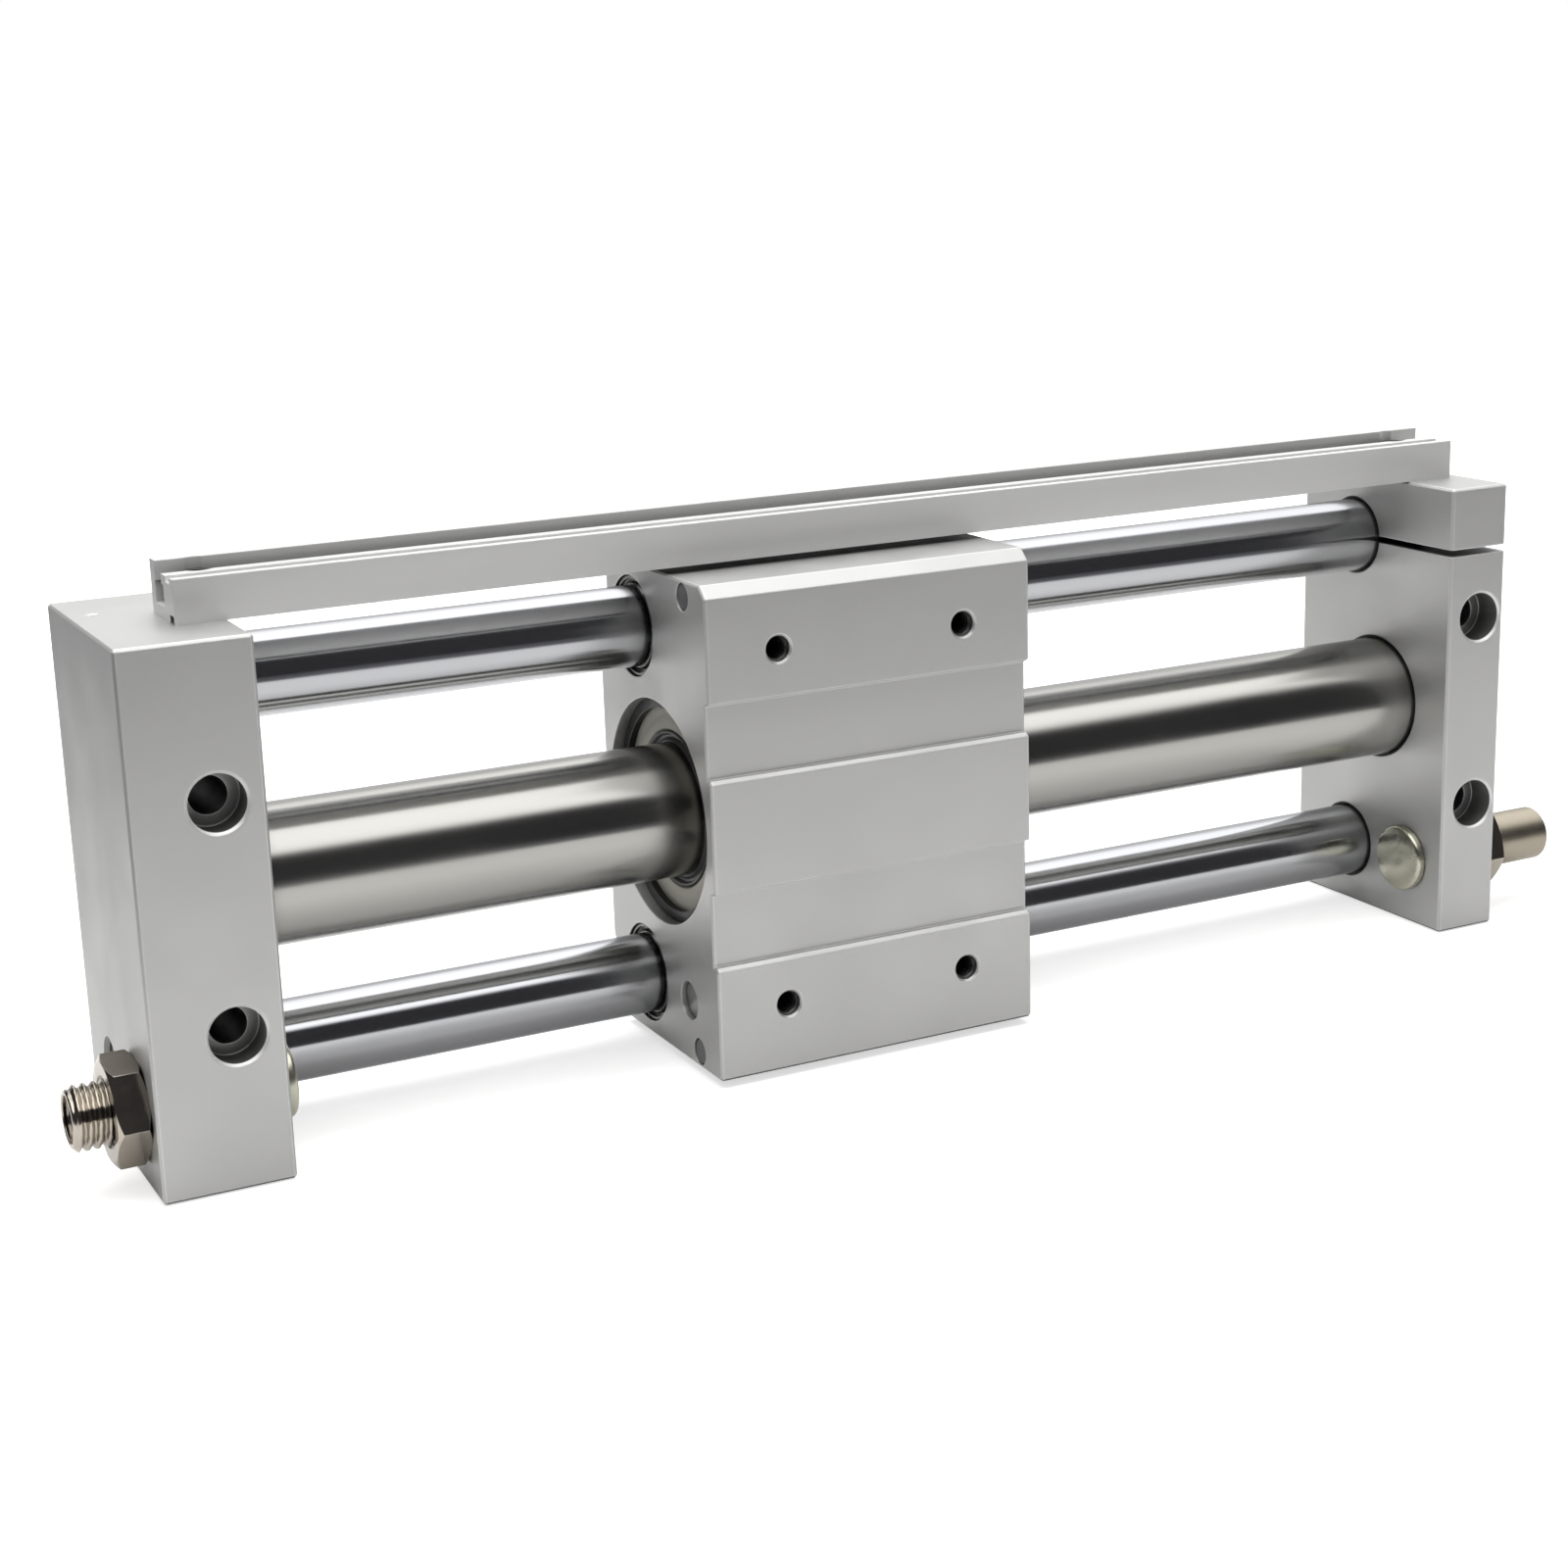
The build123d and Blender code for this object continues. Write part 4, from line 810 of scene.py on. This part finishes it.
# Studio: a pale floor, one large soft lamp overhead, and a sky whose bands the polished metal shows
studio = {
    "floorSize": 8.0, "floorDrop": 0.0002, "floorColour": (0.82, 0.82, 0.82),
    "tableFront": -0.34, "tableSoft": 0.05,
    "tableLeft": -0.28, "tableLeftSoft": 0.1,
    "roomColour": (0.10, 0.10, 0.11), "glowNear": 0.62, "glowFar": 1.0, "glowStart": 0.25, "glowEnd": 0.8,
    "glossyGlow": 0.04,
    "lampPlace": (-0.1, 0.15, 1.3), "lampSize": 1.4, "lampPower": 20.0,
    "diffuseSky": (0.465, 0.46, 0.455),
    "skyStrength": 2.0,
    "frontBands": (
        (-1.0, (0.04, 0.04, 0.043)), (0.64, (0.04, 0.04, 0.043)),
        (0.73, (1.95, 1.95, 1.95)), (1.0, (1.95, 1.95, 1.95)),
    ),
    "backBands": (
        (-1.0, (0.68, 0.69, 0.705)), (0.35, (0.73, 0.73, 0.735)),
        (0.64, (1.95, 1.95, 1.95)), (1.0, (1.95, 1.95, 1.95)),
    ),
    "backdropLean": 0.7, "backdropStart": 0.52, "backdropFull": 1.0,
}


def linkAll(tree, kind, sockets, **values):
    # a node whose inputs are joined in order to the sockets or set to the numbers given
    node = addNode(tree, kind, **values)
    for place, socket in zip(node.inputs, sockets):
        if isinstance(socket, (int, float)):
            place.default_value = socket
        else:
            tree.links.new(socket, place)
    return node.outputs[0]


def makeFloor(values):
    half, height = values["floorSize"] / 2, -values["floorDrop"]
    mesh = bpy.data.meshes.new("floor")
    corners = [(x * half, y * half, height) for x, y in ((-1, -1), (1, -1), (1, 1), (-1, 1))]
    mesh.from_pydata(corners, [], [(0, 1, 2, 3)])
    floor = bpy.data.objects.new("floor", mesh)
    bpy.context.scene.collection.objects.link(floor)
    material = bpy.data.materials.new("floor")
    material.use_nodes = True
    tree = material.node_tree
    tree.nodes.remove(tree.nodes["Principled BSDF"])
    path = tree.nodes.new("ShaderNodeLightPath").outputs
    where = tree.nodes.new("ShaderNodeTexCoord").outputs["Object"]
    # the pale table ends in front and to the left of the object, except to the camera's eye
    apart = tree.nodes.new("ShaderNodeSeparateXYZ")
    tree.links.new(where, apart.inputs[0])
    front = values["tableFront"]
    onTable = addNode(
        tree, "ShaderNodeMapRange", {"Value": apart.outputs["Y"]}, interpolation_type="SMOOTHSTEP",
        From_Min=front - values["tableSoft"], From_Max=front + values["tableSoft"],
    ).outputs[0]
    left = values["tableLeft"]
    rightOf = addNode(
        tree, "ShaderNodeMapRange", {"Value": apart.outputs["X"]}, interpolation_type="SMOOTHSTEP",
        From_Min=left - values["tableLeftSoft"], From_Max=left + values["tableLeftSoft"],
    ).outputs[0]
    onTable = linkAll(tree, "ShaderNodeMath", (onTable, rightOf), operation="MULTIPLY")
    shown = linkAll(tree, "ShaderNodeMath", (onTable, path["Is Camera Ray"]), operation="MAXIMUM")
    colour = addNode(tree, "ShaderNodeMix", data_type="RGBA")
    tree.links.new(shown, colour.inputs["Factor"])
    colour.inputs["A"].default_value = (*values["roomColour"], 1)
    colour.inputs["B"].default_value = (*values["floorColour"], 1)
    plain = addNode(tree, "ShaderNodeBsdfDiffuse", {"Color": colour.outputs["Result"]})
    # the glow whitens what the camera sees, more so far away, and leaves the shadow near the object
    away = linkAll(tree, "ShaderNodeVectorMath", (where,), operation="LENGTH")
    length = away.node.outputs["Value"]
    glow = addNode(
        tree, "ShaderNodeMapRange", {"Value": length},
        From_Min=values["glowStart"], From_Max=values["glowEnd"],
    )
    glow.inputs["To Min"].default_value = values["glowNear"]
    glow.inputs["To Max"].default_value = values["glowFar"]
    straight = (path["Is Camera Ray"], path["Is Transmission Ray"])
    direct = linkAll(tree, "ShaderNodeMath", straight, operation="MAXIMUM")
    direct = linkAll(tree, "ShaderNodeMath", (direct, glow.outputs[0]), operation="MULTIPLY")
    added = (path["Is Glossy Ray"], values["glossyGlow"], direct)
    glossy = linkAll(tree, "ShaderNodeMath", added, operation="MULTIPLY_ADD")
    light = addNode(tree, "ShaderNodeEmission", {"Strength": glossy}, Color=(1, 1, 1, 1))
    both = linkAll(tree, "ShaderNodeAddShader", (plain.outputs[0], light.outputs[0]))
    tree.links.new(both, tree.nodes["Material Output"].inputs["Surface"])
    mesh.materials.append(material)


def bandedSky(tree, height, bands, strength):
    # colour by the height of the direction looked in, from -1 straight down to 1 straight up
    share = addNode(tree, "ShaderNodeMapRange", {"Value": height}, From_Min=-1.0, From_Max=1.0)
    ramp = tree.nodes.new("ShaderNodeValToRGB")
    tree.links.new(share.outputs[0], ramp.inputs[0])
    stops = ramp.color_ramp.elements
    for i, (z, colour) in enumerate(bands):
        stop = stops[i] if i < 2 else stops.new((z + 1) / 2)
        stop.position = (z + 1) / 2
        stop.color = (*[part / strength for part in colour], 1)
    return ramp.outputs["Color"]


def makeSky(values):
    world = bpy.data.worlds.new("sky")
    bpy.context.scene.world = world
    world.use_nodes = True
    tree = world.node_tree
    tree.nodes.clear()
    direction = tree.nodes.new("ShaderNodeTexCoord").outputs["Generated"]
    apart = tree.nodes.new("ShaderNodeSeparateXYZ")
    tree.links.new(direction, apart.inputs[0])
    # the pale backdrop stands behind and to the right
    lean = values["backdropLean"]
    leaning = (apart.outputs["X"], lean, apart.outputs["Y"])
    toBackdrop = linkAll(tree, "ShaderNodeMath", leaning, operation="MULTIPLY_ADD")
    behind = addNode(
        tree, "ShaderNodeMapRange", {"Value": toBackdrop}, interpolation_type="SMOOTHSTEP",
        From_Min=values["backdropStart"], From_Max=values["backdropFull"],
    ).outputs[0]
    mixed = addNode(tree, "ShaderNodeMix", data_type="RGBA")
    tree.links.new(behind, mixed.inputs["Factor"])
    strength = values["skyStrength"]
    for bands, place in (("frontBands", "A"), ("backBands", "B")):
        tree.links.new(bandedSky(tree, apart.outputs["Z"], values[bands], strength), mixed.inputs[place])
    banded = addNode(tree, "ShaderNodeBackground", {"Color": mixed.outputs["Result"]}, Strength=strength)
    soft = addNode(tree, "ShaderNodeBackground", Color=(*values["diffuseSky"], 1))
    white = addNode(tree, "ShaderNodeBackground", Color=(1, 1, 1, 1))
    path = tree.nodes.new("ShaderNodeLightPath").outputs
    shine = linkAll(tree, "ShaderNodeMixShader", (path["Is Glossy Ray"], soft.outputs[0], banded.outputs[0]))
    straight = (path["Is Camera Ray"], path["Is Transmission Ray"])
    seen = linkAll(tree, "ShaderNodeMath", straight, operation="MAXIMUM")
    chosen = linkAll(tree, "ShaderNodeMixShader", (seen, shine, white.outputs[0]))
    tree.links.new(chosen, tree.nodes.new("ShaderNodeOutputWorld").inputs[0])


def makeLamp(values):
    data = bpy.data.lights.new("softbox", "AREA")
    data.shape, data.size, data.energy = "SQUARE", values["lampSize"], values["lampPower"]
    lamp = bpy.data.objects.new("softbox", data)
    lamp.location = values["lampPlace"]
    lamp.visible_glossy = False
    bpy.context.scene.collection.objects.link(lamp)


makeFloor(studio)
makeSky(studio)
makeLamp(studio)
print("studio made")
